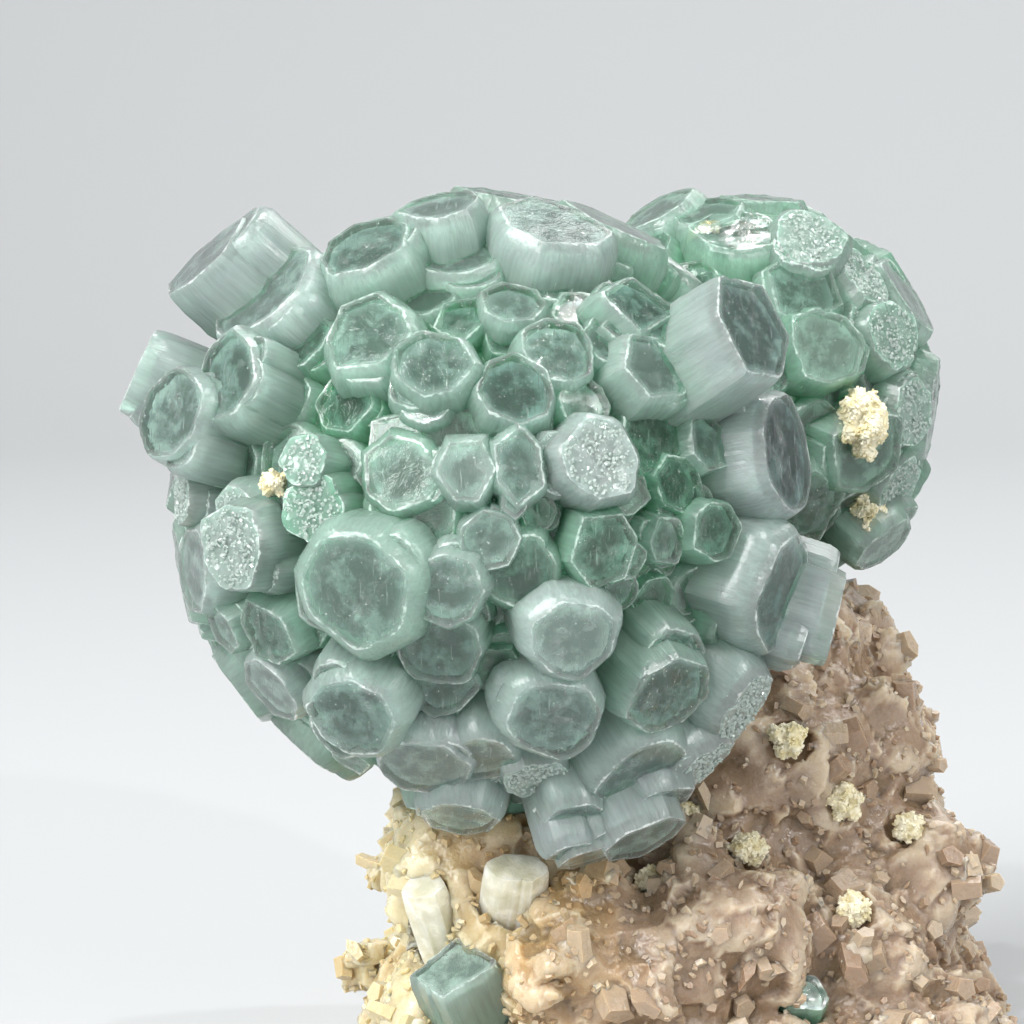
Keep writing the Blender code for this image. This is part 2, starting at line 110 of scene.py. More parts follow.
# The shoulder under a cap's edge: the share of the flare that is reached, and how far down.
SHOULDER_ROWS = ((0.25, 0.16), (0.6, 0.5), (1.0, 1.0))
SHOULDER_SHARE = 0.4
LEDGE_OUT = 0.02
LEDGE_BACK = -0.4
ROOT_TAPER = 0.08
CHIPPED = (0.9, 1.2)

# The smaller crystals beside a crystal: how many, how far out, how much lower, and how wide.
BESIDE_COUNTS = (1, 2, 2, 3)
BESIDE_OUT = (0.42, 0.72)
BESIDE_DROPS = (0.25, 1.5)
BESIDE_WIDTHS = (0.5, 0.78)

# A listed crystal that stands out this far has nearly straight sides.
FLARES = (0.12, 0.3)
TALL_BY = 2.5 * MM
TALL_FLARE = 0.07

# How green and milky the filling crystals are; those between the listed ones are the greenest.
FILL_GREENS = (0.3, 0.75)
SUNK_GREENS = (0.7, 1.0)
FILL_MILKS = (0.1, 0.7)
SMALL_GREENS = (0.35, 0.8)
SMALL_MILKS = (0.0, 0.5)

# A rough cap's relief grows by this; a face is cap while it lies within this many reliefs of it.
STYLE_GAIN = 2.5
CAP_SLACK = 2.5
CAP_REACH = 1.02

# How much of a crystal's distance below the ball's surface counts as depth, and how far apart the
# patterns of two crystals lie.
SUNK_SHARE = 0.7
GRAIN_APART = 17.0

# Faces that meet at more than this keep a hard edge between them.
SHARP_ANGLE = math.radians(34)

# The numbers of a colour mix's sockets.
MIX_A = 6
MIX_B = 7
MIX_OUT = 2

Socket = bpy.types.NodeSocket
AddNode = Callable[..., bpy.types.Node]


class CapStyle(Enum):
    """How the flat end of a crystal grew."""

    SMOOTH = 0.0
    MOSAIC = 0.5
    SPARKLING = 1.0


class Look(NamedTuple):
    """How green a crystal is, how milky its cap is, and how its cap grew."""

    green: float
    milk: float
    style: CapStyle = CapStyle.SMOOTH


class Row(NamedTuple):
    """A crystal's cap beside the middle of its ball, as the eye sees it, in mm and degrees."""

    name: str
    right: float
    up: float
    width: float
    reach: float
    lean: float = 0
    turn: float = 0
    sides: int = 8
    flat: float = 1
    look: Look = Look(0.4, 0.4)


SMOOTH = CapStyle.SMOOTH
MOSAIC = CapStyle.MOSAIC
SPARKLING = CapStyle.SPARKLING

FRONT_ROWS = (
    Row("upper_left_tip", -16.9, 14.9, 6.2, 22.6, 0, 22, 8, 1, Look(0.05, 0.35)),
    Row("upper_left_step", -13.6, 12.6, 7.2, 19.6, 0, 10, 8, 1, Look(0.1, 0.5)),
    Row("left_edge", -20.9, 8.2, 5.2, 22.4, -4, 15, 7, 1, Look(0.05, 0.4)),
    Row("left_rough", -18.9, 5.7, 5.6, 21.4, 17, 0, 8, 1, Look(0.15, 0.6, MOSAIC)),
    Row("left_drum", -15.6, 7.8, 5.4, 20.2, 4, 30, 7, 1, Look(0.25, 0.35)),
    Row("left_green", -11.1, 9.7, 4.2, 17.6, 0, 12, 8, 1, Look(0.8, 0.1)),
    Row("ridge_low", -9.6, 13.4, 3.8, 17.8, 0, 0, 7, 1, Look(0.5, 0.4)),
    Row("upper_cap", -7.2, 10.6, 5.2, 18.9, 8, 30, 7, 1, Look(0.4, 0.45)),
    Row("under_cap", -8.6, 6.4, 4.2, 17.2, 0, 45, 6, 1, Look(0.9, 0.05)),
    Row("ridge_left", -7.5, 15.6, 5.4, 19.2, 0, 10, 8, 1, Look(0.3, 0.3)),
    Row("top_drum", -2.8, 18.1, 4.6, 19.6, 0, 0, 8, 1, Look(0.2, 0.5)),
    Row("top_step", -1.6, 15.0, 4.4, 17.4, 0, 20, 8, 1, Look(0.35, 0.4)),
    Row("top_green", -3.4, 12.8, 4.4, 16.6, -10, 0, 8, 1, Look(0.7, 0.2)),
    Row("top_big", 4.2, 17.0, 6.6, 19.2, 0, 5, 7, 1, Look(0.1, 0.6)),
    Row("upper_small", 1.6, 12.1, 3.6, 17.8, 0, 0, 7, 1, Look(0.3, 0.5)),
    Row("upper_dark", 1.4, 10.2, 2.9, 16.6, 0, 0, 6, 1, Look(0.9, 0.0)),
    Row("upper_right_cap", 4.4, 9.4, 4.3, 18.3, -8, 18, 8, 1, Look(0.35, 0.4)),
    Row("tall_cap", -3.3, 8.5, 4.5, 19.3, 8, 0, 7, 1, Look(0.35, 0.35)),
    Row("middle_cap", 2.0, 7.1, 4.4, 18.6, -12, 0, 8, 1, Look(0.3, 0.05)),
    Row("bright_cap", 6.8, 2.8, 4.8, 20.0, 0, 10, 7, 1, Look(0.1, 1.0, SPARKLING)),
    Row("small_right", 6.0, 6.2, 3.2, 17.8, 0, 0, 8, 1, Look(0.7, 0.3)),
    Row("slanted_green", 10.0, 4.2, 5.0, 17.0, 0, 20, 6, 1, Look(1.0, 0.0)),
    Row("slanted_low", 11.6, 1.2, 3.8, 17.4, 0, 50, 6, 1, Look(1.0, 0.1)),
    Row("small_diamond", 9.3, 12.0, 4.6, 19.4, 5, 10, 4, 1, Look(0.35, 0.05)),
    Row("beside_diamond", 7.4, 9.9, 3.6, 18.0, 0, 0, 6, 1, Look(0.4, 0.5)),
    Row("right_sub", 10.4, 8.3, 4.6, 19.0, 0, 20, 6, 1, Look(0.25, 0.5)),
    Row("upper_right_big", 16.0, 10.8, 6.6, 22.6, -4, 22, 6, 1, Look(0.05, 0.3)),
    Row("right_dark_cap", 18.2, 3.3, 7.0, 19.9, 0, 0, 8, 1, Look(0.0, 0.0)),
    Row("right_low_cap", 17.9, -5.4, 7.0, 20.0, 0, 20, 8, 1, Look(0.1, 0.15)),
    Row("far_right", 21.0, -6.9, 5.8, 22.2, -6, 0, 8, 1, Look(0.0, 0.8)),
    Row("right_green_cap", 14.0, -1.5, 3.8, 18.6, 8, 0, 7, 1, Look(0.7, 0.1)),
    Row("right_sliver", 13.5, 3.9, 3.6, 17.9, 0, 30, 6, 1, Look(0.5, 0.3)),
    Row("right_small", 11.0, -2.1, 3.0, 17.7, 0, 0, 6, 1, Look(0.6, 0.4)),
    Row("square_green", 7.2, -2.6, 4.3, 19.1, 0, 8, 6, 1, Look(0.7, 0.1, MOSAIC)),
    Row("low_green", 10.2, -5.7, 3.2, 16.5, 0, 0, 6, 1, Look(1.0, 0.0)),
    Row("white_cap", 5.4, -8.2, 5.0, 20.3, 6, 15, 8, 1, Look(0.1, 0.9, MOSAIC)),
    Row("low_middle", 4.4, -12.9, 5.4, 20.0, 14, 0, 8, 1, Look(0.15, 0.4, MOSAIC)),
    Row("low_right", 11.2, -11.4, 5.6, 20.2, 6, 30, 7, 1, Look(0.35, 0.1, MOSAIC)),
    Row("centre_dark", 2.0, -3.9, 4.5, 18.6, 0, 12, 7, 1, Look(0.6, 0.0)),
    Row("centre_pale", 0.2, -2.0, 3.4, 19.2, 0, 0, 7, 1, Look(0.3, 0.5)),
    Row("disc", -2.3, -5.1, 4.0, 19.9, 0, 0, 8, 1, Look(0.25, 0.4, MOSAIC)),
    Row("largest", -8.0, -4.8, 6.9, 20.6, 4, 12, 7, 1, Look(0.35, 0.4, MOSAIC)),
    Row("inner_upper", -5.1, 2.0, 4.2, 18.4, 0, 0, 7, 1, Look(0.5, 0.3)),
    Row("inner_lower", -4.4, -0.6, 4.8, 17.8, 0, 25, 8, 1, Look(0.6, 0.15)),
    Row("twin_left", -1.2, 1.9, 3.6, 19.5, 0, 0, 6, 1, Look(0.25, 0.5)),
    Row("twin_right", 2.0, 2.2, 4.4, 19.6, 0, 90, 6, 0.64, Look(0.25, 0.5)),
    Row("pin", 3.2, -0.4, 2.4, 18.0, 0, 0, 6, 1, Look(0.9, 0.0)),
    Row("under_disc", -2.7, -8.7, 4.9, 18.6, 0, 0, 8, 1, Look(0.35, 0.2)),
    Row("under_disc_step", -2.7, -10.8, 4.6, 17.8, 0, 0, 7, 1, Look(0.4, 0.3)),
    Row("low_green_left", -3.3, -12.6, 3.6, 17.5, 0, 0, 6, 1, Look(0.7, 0.1)),
    Row("low_left_cap", -8.2, -12.6, 5.2, 20.4, 8, 0, 8, 1, Look(0.2, 0.3, MOSAIC)),
    Row("left_low_cap", -13.2, -7.8, 4.2, 18.8, 0, 0, 6, 1, Look(0.5, 0.2, MOSAIC)),
    Row("left_cap", -15.3, -2.4, 5.0, 20.0, 6, 0, 7, 1, Look(0.25, 0.3, SPARKLING)),
    Row("left_limb", -17.6, -3.9, 5.2, 18.7, 0, 15, 8, 1, Look(0.1, 0.6)),
    Row("left_sparkle", -18.3, 0.4, 3.6, 19.0, 0, 0, 7, 1, Look(0.2, 0.8, SPARKLING)),
    Row("inner_sparkle", -10.9, 2.8, 3.4, 18.8, 0, 0, 6, 1, Look(0.5, 0.6, SPARKLING)),
    Row("inner_sparkle_low", -10.4, -0.2, 4.0, 18.4, 0, 0, 7, 1, Look(0.7, 0.4, SPARKLING)),
    Row("left_low_small", -15.8, -7.5, 3.2, 18.3, 0, 0, 6, 1, Look(0.4, 0.4)),
    Row("left_low_pale", -12.9, -11.1, 4.8, 18.6, 0, 10, 7, 1, Look(0.1, 0.7)),
    Row("between_caps", -10.8, -7.4, 3.0, 17.4, 0, 0, 6, 1, Look(0.8, 0.1)),
    Row("between_low", 0.6, -9.8, 3.2, 17.4, 0, 0, 6, 1, Look(0.9, 0.0)),
    Row("bottom_big", -3.6, -15.7, 5.8, 19.2, 0, 10, 8, 1, Look(0.0, 0.8)),
    Row("bottom_big_right", -0.2, -15.4, 4.6, 18.8, 0, 0, 7, 1, Look(0.1, 0.8)),
    Row("bottom_tip", -1.4, -18.9, 4.8, 20.0, 0, 10, 7, 1, Look(0.05, 0.7)),
    Row("bottom_sparkle", 3.0, -16.5, 4.2, 19.0, 0, 0, 7, 1, Look(0.2, 0.6, SPARKLING)),
    Row("bottom_right", 9.3, -16.2, 5.6, 20.4, 0, 0, 8, 1, Look(0.15, 0.6)),
    Row("bottom_right_small", 5.5, -18.8, 3.8, 20.9, 0, 0, 6, 1, Look(0.1, 0.6)),
    Row("bottom_lilac", 9.6, -20.1, 5.6, 22.9, 0, 10, 7, 1, Look(0.0, 0.6)),
    Row("bottom_point", 6.3, -21.2, 4.4, 22.6, 0, 0, 6, 1, Look(0.0, 0.5)),
    Row("right_bottom", 15.6, -12.3, 5.2, 20.6, 0, 20, 8, 1, Look(0.1, 0.7, SPARKLING)),
    Row("right_bottom_step", 12.9, -15.9, 5.0, 20.9, 0, 0, 7, 1, Look(0.1, 0.7, SPARKLING)),
)

BACK_ROWS = (
    Row("far_top_left", -5.7, 12.6, 5.2, 14.0, look=Look(0.4, 0.5)),
    Row("far_top", -2.4, 12.4, 4.8, 13.4, 0, 20, 7, 1, Look(0.5, 0.6)),
    Row("far_ellipse", -0.5, 11.2, 5.6, 13.2, -10, 0, 8, 1, Look(0.6, 0.1)),
    Row("far_left", -6.9, 9.4, 4.6, 13.0, look=Look(0.8, 0.4)),
    Row("far_clear", 4.4, 10.6, 5.2, 13.8, 0, 15, 8, 1, Look(0.4, 0.2, SPARKLING)),
    Row("far_slab", 4.0, 7.2, 5.2, 13.2, 0, 40, 6, 1, Look(0.5, 0.5)),
    Row("far_upper_right", 8.2, 8.0, 4.6, 13.0, 0, 0, 7, 1, Look(0.5, 0.6, SPARKLING)),
    Row("far_pale", 5.6, 3.4, 5.4, 13.4, 0, 10, 8, 1, Look(0.7, 0.6)),
    Row("far_right_upper", 10.0, 4.2, 5.0, 13.4, 0, 0, 8, 1, Look(0.5, 0.5, SPARKLING)),
    Row("far_right_sparkle", 11.4, -1.2, 4.6, 13.2, 0, 20, 7, 1, Look(0.4, 0.7, SPARKLING)),
    Row("far_right_low", 10.6, -6.0, 4.6, 13.0, 0, 0, 7, 1, Look(0.5, 0.6, SPARKLING)),
    Row("far_low", 9.4, -10.0, 4.8, 14.2, 0, 0, 8, 1, Look(0.4, 0.8)),
)


class Single(NamedTuple):
    """A larger crystal on the matrix, by its node."""

    node: str
    right: float
    up: float
    width: float
    thick: float
    length: float
    direction: tuple[float, float, float]
    sides: int
    green: float


SINGLES = (
    Single("white_stilbite_blade", 1.8, -23.6, 4.3, 2.4, 7.0, (0.10, 0.75, 0.65), 6, 0.0),
    Single("pale_stilbite_prism", -3.4, -24.2, 2.9, 2.4, 6.0, (-0.22, 0.80, 0.55), 6, 0.0),
    Single("pale_green_crystal", -1.9, -29.6, 5.6, 4.6, 7.0, (-0.25, 0.72, 0.65), 4, 0.25),
    Single("small_green_crystal", 19.0, -30.0, 3.4, 2.8, 4.4, (0.15, 0.60, 0.78), 6, 0.8),
)

TUFT_COUNT = 9

# Specks of the same powder on the balls: the ball's middle, right, up, how far out, and the size, in mm.
SPECKS = (
    (FRONT_CENTRE, -12.8, 1.3, 18.2, 1.5),
    (FRONT_CENTRE, -17.6, -0.1, 18.0, 1.0),
    (FRONT_CENTRE, -13.4, -1.8, 18.4, 0.9),
    (BACK_CENTRE, -2.3, 10.8, 12.6, 1.6),
    (BACK_CENTRE, -4.2, 7.2, 12.8, 1.3),
)


def linear(hex_color: str) -> tuple[float, float, float, float]:
    """Turns an sRGB hex colour into linear light.

    Args:
        hex_color: a colour such as "#c9a98c".

    Returns:
        Red, green, blue and an alpha of 1.
    """
    shares = [int(hex_color[at : at + 2], 16) / 255 for at in (1, 3, 5)]
    red, green, blue = [s / 12.92 if s <= 0.04045 else ((s + 0.055) / 1.055) ** 2.4 for s in shares]
    return red, green, blue, 1.0


def add_node(
    tree: bpy.types.NodeTree, kind: str, inputs: dict[str | int, object] | None = None, **settings: object
) -> bpy.types.Node:
    """Adds one node with its settings and links.

    Args:
        tree: the tree that the node goes in.
        kind: the node's type.
        inputs: by name or number, a socket to link from, a hex colour or a plain value.
        settings: the node's own properties.

    Returns:
        The new node.
    """
    node = tree.nodes.new(kind)
    for key, value in settings.items():
        setattr(node, key, value)
    for key, value in (inputs or {}).items():
        if isinstance(value, Socket):
            tree.links.new(value, node.inputs[key])
        elif isinstance(value, str) and value.startswith("#"):
            node.inputs[key].default_value = linear(value)
        else:
            node.inputs[key].default_value = value
    return node


def set_stops(node: bpy.types.Node, stops: dict[float, str]) -> None:
    """Gives a colour ramp its stops.

    Args:
        node: the ramp.
        stops: hex colours by position, at least two.
    """
    elements = node.color_ramp.elements
    places = sorted(stops)
    for position in places[2:]:
        elements.new(position)
    for element, position in zip(elements, places):
        element.position = position
        element.color = linear(stops[position])


def bare_material(name: str) -> tuple[bpy.types.Material, bpy.types.NodeTree, bpy.types.Node]:
    """Makes a material with only its output node.

    Args:
        name: the finish's real name.

    Returns:
        The material, its tree and the output node.
    """
    material = bpy.data.materials.new(name)
    material.use_nodes = True
    tree = material.node_tree
    tree.nodes.clear()
    return material, tree, add_node(tree, "ShaderNodeOutputMaterial")


def frame_along(axis: Vector, origin: Vector, turn: float) -> Matrix:
    """Gives the place at a point whose +Z runs along an axis.

    Args:
        axis: the direction of +Z.
        origin: the point.
        turn: the roll about the axis, in radians.

    Returns:
        The place as a matrix.
    """
    across = RIGHT if abs(axis.dot(RIGHT)) < 0.9 else UP
    side = (across - across.dot(axis) * axis).normalized()
    spin = Matrix((side, axis.cross(side), axis)).transposed().to_4x4()
    return Matrix.Translation(origin) @ spin @ Matrix.Rotation(turn, 4, "Z")


def seen_at(centre: Vector, right: float, up: float, reach: float) -> Vector:
    """Finds the point at a reach from the centre that the eye sees beside it.

    Args:
        centre: the middle of the ball.
        right: how far to the right it shows.
        up: how far up it shows.
        reach: its distance from the centre.

    Returns:
        The point.
    """
    target = centre + right * RIGHT + up * UP
    sight = (target - EYE).normalized()
    nearest = EYE + (centre - EYE).dot(sight) * sight
    miss = (nearest - centre).length
    return nearest - math.sqrt(max(reach**2 - miss**2, 0)) * sight


def even_directions(count: int) -> Iterator[Vector]:
    """Yields directions spread evenly over a ball along a spiral.

    Args:
        count: how many directions.

    Yields:
        Each direction.
    """
    for index in range(count):
        height = 1 - (2 * index + 1) / count
        level = math.sqrt(1 - height**2)
        angle = index * math.pi * (3 - math.sqrt(5))
        yield Vector((level * math.cos(angle), level * math.sin(angle), height))


def new_object(name: str, mesh: bpy.types.Mesh) -> bpy.types.Object:
    """Links a mesh to the scene as an object at the origin."""
    item = bpy.data.objects.new(name, mesh)
    bpy.context.scene.collection.objects.link(item)
    return item


def settle(item: bpy.types.Object) -> None:
    """Turns the object's modifiers into its plain mesh."""
    bpy.context.view_layer.update()
    shaped = item.evaluated_get(bpy.context.evaluated_depsgraph_get())
    mesh = bpy.data.meshes.new_from_object(shaped)
    item.modifiers.clear()
    item.data = mesh


def points_of(mesh: bpy.types.Mesh) -> np.ndarray:
    """Reads a mesh's vertex positions as an array of rows."""
    points = np.empty(len(mesh.vertices) * 3, np.float32)
    mesh.vertices.foreach_get("co", points)
    return points.reshape(-1, 3).astype(float)


def store(mesh: bpy.types.Mesh, name: str, domain: str, values: np.ndarray) -> None:
    """Stores numbers or vectors on a mesh under a name.

    Args:
        mesh: the mesh.
        name: the attribute's name.
        domain: POINT, CORNER or FACE.
        values: one number or one vector for each element.
    """
    kind, key = ("FLOAT_VECTOR", "vector") if values.ndim == 2 else ("FLOAT", "value")
    attribute = mesh.attributes.new(name, kind, domain)
    attribute.data.foreach_set(key, values.astype(np.float32).ravel())


def soften(values: np.ndarray, passes: int) -> np.ndarray:
    """Rounds a closed row of numbers by averaging neighbours.

    Args:
        values: the numbers round a loop.
        passes: how many times to average.

    Returns:
        The softened numbers.
    """
    for _ in range(passes):
        values = (np.roll(values, 1) + 2 * values + np.roll(values, -1)) / 4
    return values


@dataclass(frozen=True)
class Scatter:
    """Small crystals grown over a surface: how many to a square metre, and their sizes."""

    per_area: float
    smallest: tuple[float, float, float]
    largest: tuple[float, float, float]
    lean: float
    sunk: float
    seed: int
    lowest: float = 1.0 * MM

    def tree(self, material: bpy.types.Material) -> bpy.types.NodeTree:
        """Builds the node tree that scatters the crystals.

        Args:
            material: what the crystals are made of.

        Returns:
            The tree, with named inputs for the sizes.
        """
        tree = bpy.data.node_groups.new("Crystals over a surface", "GeometryNodeTree")
        face = tree.interface
        face.new_socket("Surface", in_out="INPUT", socket_type="NodeSocketGeometry")
        face.new_socket("Per area", in_out="INPUT", socket_type="NodeSocketFloat")
        face.new_socket("Smallest", in_out="INPUT", socket_type="NodeSocketVector")
        face.new_socket("Largest", in_out="INPUT", socket_type="NodeSocketVector")
        face.new_socket("Lean", in_out="INPUT", socket_type="NodeSocketFloat")
        face.new_socket("Sunk", in_out="INPUT", socket_type="NodeSocketFloat")
        face.new_socket("Lowest", in_out="INPUT", socket_type="NodeSocketFloat")
        face.new_socket("Seed", in_out="INPUT", socket_type="NodeSocketInt")
        face.new_socket("Crystals", in_out="OUTPUT", socket_type="NodeSocketGeometry")
        add = partial(add_node, tree)
        given = add("NodeGroupInput").outputs
        place = add("GeometryNodeInputPosition").outputs[0]
        height = add("ShaderNodeSeparateXYZ", {0: place}).outputs["Z"]
        clear = add(
            "FunctionNodeCompare",
            {"A": height, "B": given["Lowest"]},
            data_type="FLOAT",
            operation="GREATER_THAN",
        ).outputs[0]
        spots = add(
            "GeometryNodeDistributePointsOnFaces",
            {
                "Mesh": given["Surface"],
                "Selection": clear,
                "Density": given["Per area"],
                "Seed": given["Seed"],
            },
        ).outputs
        prism = add(
            "GeometryNodeMeshCone",
            {"Vertices": 5, "Radius Top": 0.4, "Radius Bottom": 0.5, "Depth": 1.0},
        ).outputs["Mesh"]
        deep = add("ShaderNodeMath", {0: given["Sunk"], 1: -1.0}, operation="MULTIPLY").outputs[0]
        down = add("ShaderNodeCombineXYZ", {"Z": deep}).outputs[0]
        rooted = add("GeometryNodeTransform", {"Geometry": prism, "Translation": down}).outputs[0]
        lean = given["Lean"]
        most = add("ShaderNodeCombineXYZ", {"X": lean, "Y": lean, "Z": math.pi}).outputs[0]
        least = add("ShaderNodeVectorMath", {0: most, "Scale": -1.0}, operation="SCALE").outputs[0]
        turned = add(
            "FunctionNodeRandomValue",
            {0: least, 1: most, "Seed": given["Seed"]},
            data_type="FLOAT_VECTOR",
        ).outputs[0]
        spin = add("FunctionNodeEulerToRotation", {0: turned}).outputs[0]
        rolled = add(
            "FunctionNodeRotateRotation",
            {"Rotation": spots["Rotation"], "Rotate By": spin},
            rotation_space="LOCAL",
        ).outputs[0]
        scale = add(
            "FunctionNodeRandomValue",
            {0: given["Smallest"], 1: given["Largest"], "Seed": given["Seed"]},
            data_type="FLOAT_VECTOR",
        ).outputs[0]
        placed = add(
            "GeometryNodeInstanceOnPoints",
            {"Points": spots["Points"], "Instance": rooted, "Rotation": rolled, "Scale": scale},
        ).outputs[0]
        tone = add("FunctionNodeRandomValue", {"Seed": given["Seed"]}, data_type="FLOAT").outputs[1]
        toned = add(
            "GeometryNodeStoreNamedAttribute",
            {"Geometry": placed, "Name": "tone", "Value": tone},
            data_type="FLOAT",
            domain="INSTANCE",
        ).outputs[0]
        solid = add("GeometryNodeRealizeInstances", {0: toned}).outputs[0]
        dressed = add("GeometryNodeSetMaterial", {"Geometry": solid, "Material": material}).outputs[0]
        add("NodeGroupOutput", {"Crystals": dressed})
        return tree

    def over(self, surface: bpy.types.Mesh, name: str, material: bpy.types.Material) -> bpy.types.Object:
        """Grows the crystals over a surface and makes them a plain mesh.

        Args:
            surface: what they grow on.
            name: the new piece's name.
            material: what they are made of.

        Returns:
            The piece, with no modifier left.
        """
        item = new_object(name, surface.copy())
        modifier = item.modifiers.new("Crystals", "NODES")
        modifier.node_group = self.tree(material)
        values = {
            "Per area": self.per_area,
            "Smallest": self.smallest,
            "Largest": self.largest,
            "Lean": self.lean,
            "Sunk": self.sunk,
            "Lowest": self.lowest,
            "Seed": self.seed,
        }
        for socket in modifier.node_group.interface.items_tree:
            if socket.name in values:
                modifier[socket.identifier] = values[socket.name]
        settle(item)
        return item


@dataclass
class Crystal:
    """One prism of a ball: where its cap is, and how it grew."""

    name: str
    cap: Vector
    axis: Vector
    width: float
    length: float
    turn: float
    sides: int
    flat: float
    look: Look
    flare: float = 0.2
    segments: int = 40
    ring_step: float = 0.6 * MM
    shoulder: float = 1.3 * MM
    cap_rings: tuple[float, ...] = (0.25, 0.45, 0.63, 0.78, 0.9)
    ridges: float = 0.06 * MM
    relief: float = 0.045 * MM
    tilt: float = 0.09
    profile: np.ndarray = field(init=False)
    place: Matrix = field(init=False)
    slopes: tuple[float, float] = field(init=False)

    def __post_init__(self) -> None:
        """Works out the place and the outline."""
        self.place = frame_along(self.axis, self.cap, self.turn)
        self.profile = self.outline()
        chance = random.Random(self.name + "_tilt")
        self.slopes = (chance.uniform(-self.tilt, self.tilt), chance.uniform(-self.tilt, self.tilt))

    def outline(self) -> np.ndarray:
        """Measures the outline: an uneven polygon, the same as its plain solid's, with worn corners.

        Returns:
            The radius at each segment's angle.
        """
        chance = random.Random(self.name)
        reaches = [chance.uniform(*OUTLINE_SPREAD) for _ in range(self.sides)]
        swings = [
            chance.uniform(-CORNER_SWING, CORNER_SWING) * math.pi / self.sides for _ in range(self.sides)
        ]
        bends = [math.tau * corner / self.sides + swings[corner] for corner in range(self.sides)]
        corners = [
            (self.width / 2 * far * math.cos(bend), self.width / 2 * far * math.sin(bend) * self.flat)
            for far, bend in zip(reaches, bends)
        ]
        angles = np.array([math.atan2(y, x) % math.tau for x, y in corners])
        order = np.argsort(angles)
        angles = angles[order]
        shape = np.array(corners)[order]
        radii = np.empty(self.segments)
        for index in range(self.segments):
            theta = math.tau * index / self.segments
            after = int(np.searchsorted(angles, theta)) % self.sides
            (x1, y1), (x2, y2) = shape[after - 1], shape[after]
            across = (y2 - y1) * math.cos(theta) - (x2 - x1) * math.sin(theta)
            radii[index] = (x1 * y2 - x2 * y1) / across
        return soften(radii, chance.choice((0, 0, 1)))

    def shell(self) -> tuple[np.ndarray, list[tuple[int, ...]]]:
        """Shapes the crystal: a rough cap, a shoulder that flares below it, and ridged sides with ledges.

        Returns:
            The points in the object's frame, and the faces.
        """
        chance = random.Random(self.name + "_skin")
        theta = np.linspace(0, math.tau, self.segments, endpoint=False)
        start = Vector((chance.uniform(0, 90), chance.uniform(0, 90), chance.uniform(0, 90)))
        ridge = np.array([self.ridge_at(angle, start) for angle in theta])
        chips = np.array([self.chip_at(angle, start) for angle in theta])
        lean = np.array([self.lean_at(angle, start) for angle in theta])
        tilt_x, tilt_y = self.slopes
        rows = [(share, 0.0, 0.0) for share in (*self.cap_rings, 1.0)]
        rows += [(1 + share * self.flare, fall, 1.0) for share, fall in SHOULDER_ROWS]
        ledges = sorted(chance.uniform(0.1, 0.9) for _ in range(chance.choice((1, 2, 3))))
        drop = min(self.shoulder, SHOULDER_SHARE * self.length)
        steps = max(4, round((self.length - drop) / self.ring_step))
        for step in range(1, steps + 1):
            along = step / steps
            passed = sum(1 for ledge in ledges if ledge < along)
            share = 1 + self.flare + LEDGE_OUT * passed * (1 if passed % 2 else LEDGE_BACK)
            fall = 1 + along * (self.length - drop) / drop
            rows.append((share * (1 - ROOT_TAPER * along**2), fall, 1.0))
        points = []
        for share, fall, ridged in rows:
            chipped = 1 if CHIPPED[0] < share < CHIPPED[1] else 0
            radius = self.profile * share + ridge * ridged - chips * chipped
            x, y = radius * np.cos(theta), radius * np.sin(theta)
            z = -drop * fall * (lean if fall < 1 else 1) * np.ones(self.segments)
            z += (tilt_x * x + tilt_y * y) * max(0.0, 1 - fall)
            if fall == 0:
                z += np.array([self.relief_at(px, py, start) for px, py in zip(x, y)])
            points.append(np.stack([x, y, z], axis=1))
        top = self.relief_at(0, 0, start)
        points.append(np.array([[0, 0, top], [0, 0, -self.length]]))
        return self.placed(np.concatenate(points)), self.faces(len(rows))

    @staticmethod
    def lean_at(angle: float, start: Vector) -> float:
        """Gives how far down the shoulder reaches at an angle, as a share of its usual depth."""
        return 0.75 + 0.5 * noise.noise(start * 2 + Vector((math.cos(angle), math.sin(angle), 0)))

    def ridge_at(self, angle: float, start: Vector) -> float:
        """Gives the height of the striations at an angle round the crystal."""
        around = Vector((math.cos(angle), math.sin(angle), 0))
        return self.ridges * (noise.noise(start + around * 3.5) + 0.8 * noise.noise(start + around * 9))

    def chip_at(self, angle: float, start: Vector) -> float:
        """Gives how deep the worn cap edge is chipped at an angle."""
        around = Vector((math.cos(angle), math.sin(angle), 0.5))
        return 0.05 * self.width * max(0.0, noise.noise(start - around * 4.5) - 0.1)

    def relief_at(self, x: float, y: float, start: Vector) -> float:
        """Gives the height of the cap's growth relief at a point, stronger on a rough cap."""
        strength = self.relief * (1 + STYLE_GAIN * self.look.style.value)
        spot = start + Vector((x, y, 0)) / (0.95 * MM)
        return strength * (noise.noise(spot) + 0.5 * noise.noise(spot * 2.3))

    def cloudy(self, within: float, below: float) -> Crystal:
        """Gives the cloudy middle of this crystal, a coarser prism inside it.

        Args:
            within: how far its sides lie inside the crystal's.
            below: how far its end lies below the cap.

        Returns:
            The prism.
        """
        return Crystal(
            self.name, self.cap - below * self.axis, self.axis, self.width - 2 * within,
            self.length - below, self.turn, self.sides, self.flat, self.look, self.flare,
            segments=min(self.segments, 18), ring_step=1.5 * MM, shoulder=self.shoulder,
            cap_rings=(0.6,), ridges=0.03 * MM, relief=0.1 * MM, tilt=self.tilt,
        )

